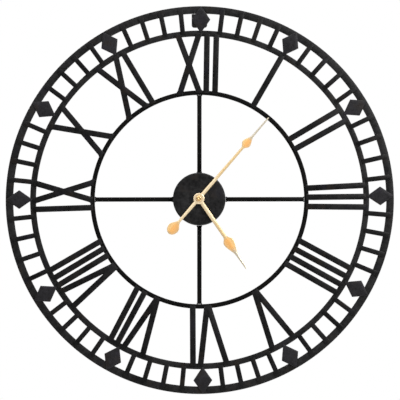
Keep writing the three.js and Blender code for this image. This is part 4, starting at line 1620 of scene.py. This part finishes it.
# ------------------------------------------------------------------ stage
@dataclass
class Studio:
    """The floor, the soft lights and the camera."""

    floor_level: float = -1.5
    floor_radius: float = 9.0
    ambient: float = 0.26
    azimuth: float = 1.6
    elevation: float = -2.9
    distance: float = 4.0
    lens: float = 232.9
    sensor_width: float = 36.0
    far_limit: float = 100.0
    aim: Point = (0.0009, 0.0, -0.00085)

    def sky(self) -> None:
        """White behind everything, and a dimmer white in what the object is lit by."""
        world = bpy.data.worlds.new("studio")
        bpy.context.scene.world = world
        world.use_nodes = True
        nodes, links = world.node_tree.nodes, world.node_tree.links
        nodes.clear()
        seen, given = nodes.new("ShaderNodeBackground"), nodes.new("ShaderNodeBackground")
        seen.inputs["Color"].default_value = given.inputs["Color"].default_value = (1, 1, 1, 1)
        seen.inputs["Strength"].default_value = 1.0
        given.inputs["Strength"].default_value = self.ambient
        choice, path = nodes.new("ShaderNodeMixShader"), nodes.new("ShaderNodeLightPath")
        links.new(path.outputs["Is Camera Ray"], choice.inputs[0])
        links.new(given.outputs[0], choice.inputs[1])
        links.new(seen.outputs[0], choice.inputs[2])
        links.new(choice.outputs[0], nodes.new("ShaderNodeOutputWorld").inputs["Surface"])

    def softbox(self, name: str, place: Point, size: float, watts: float) -> None:
        """A square soft light that points at the middle of the clock.

        Args:
            name: The light's name.
            place: Where it stands.
            size: The length of its side.
            watts: Its power.
        """
        light = bpy.data.lights.new(name, "AREA")
        light.size, light.energy = size, watts
        stand = bpy.data.objects.new(name, light)
        stand.location = place
        stand.rotation_euler = (-Vector(place)).to_track_quat("-Z", "Y").to_euler()
        stand.visible_camera = False
        bpy.context.scene.collection.objects.link(stand)

    def floor(self) -> None:
        """A round pale floor well below the clock."""
        shape = bmesh.new()
        bmesh.ops.create_circle(shape, cap_ends=True, segments=96, radius=self.floor_radius)
        bmesh.ops.translate(shape, vec=(0, 0, self.floor_level), verts=shape.verts)
        mesh = bpy.data.meshes.new("studio_floor")
        shape.to_mesh(mesh)
        shape.free()
        piece = bpy.data.objects.new("studio_floor", mesh)
        bpy.context.scene.collection.objects.link(piece)
        piece.data.materials.append(PaleFloor().mix())

    def camera(self) -> None:
        """A long lens a little to the right of the dial's axis and just below it."""
        data = bpy.data.cameras.new("camera")
        data.lens, data.sensor_width = self.lens, self.sensor_width
        data.clip_end = self.far_limit
        camera = bpy.data.objects.new("camera", data)
        a, e = math.radians(self.azimuth), math.radians(self.elevation)
        back = Vector((math.sin(a) * math.cos(e), -math.cos(a) * math.cos(e), math.sin(e)))
        camera.location = Vector(self.aim) + back * self.distance
        camera.rotation_euler = (-back).to_track_quat("-Z", "Y").to_euler()
        bpy.context.scene.collection.objects.link(camera)
        bpy.context.scene.camera = camera

    def build(self) -> None:
        """Sets the whole stage."""
        bpy.context.scene.view_settings.view_transform = "Standard"
        self.sky()
        self.floor()
        self.softbox("key", (1.45, -1.8, 1.0), 1.2, 50.0)
        self.softbox("fill", (-1.6, -3.2, 2.2), 2.2, 32.0)
        self.softbox("rear", (-1.8, 3.0, 1.8), 2.2, 90.0)
        self.softbox("overhead", (0.0, 0.0, 4.0), 3.0, 220.0)
        self.camera()
        LOG.info("studio: floor, four soft lights and the camera")


def main() -> None:
    """Builds and dresses every sub-assembly in order."""
    logging.basicConfig(level=logging.INFO, format="%(message)s")
    minute = Hand(
        "minute_hand",
        Body.MINUTE_HAND,
        angle=40.8,
        tip=164.0,
        shaft_width=5.6,
        neck_width=4.0,
        spade=Swelling(start=102.0, middle=111.0, end=127.0, width=13.6),
        needle_width=3.2,
        tip_width=2.2,
        bore=1.9,
        tail=Swelling(start=45.5, middle=59.5, end=71.0, width=17.6, round_end=True),
    )
    hour = Hand(
        "hour_hand",
        Body.HOUR_HAND,
        angle=145.8,
        tip=130.0,
        shaft_width=6.2,
        neck_width=5.6,
        spade=Swelling(start=70.5, middle=80.5, end=105.5, width=16.4),
        needle_width=4.2,
        tip_width=2.8,
        bore=2.9,
    )
    groups: Iterable[SubAssembly] = (
        Rings(), MinuteTrack(), Numerals(), Spokes(), Hub(), Movement(), hour, minute, HandNut(),
    )
    for group in groups:
        group.build()
        group.dress()
    Studio().build()


if __name__ == "__main__":
    main()
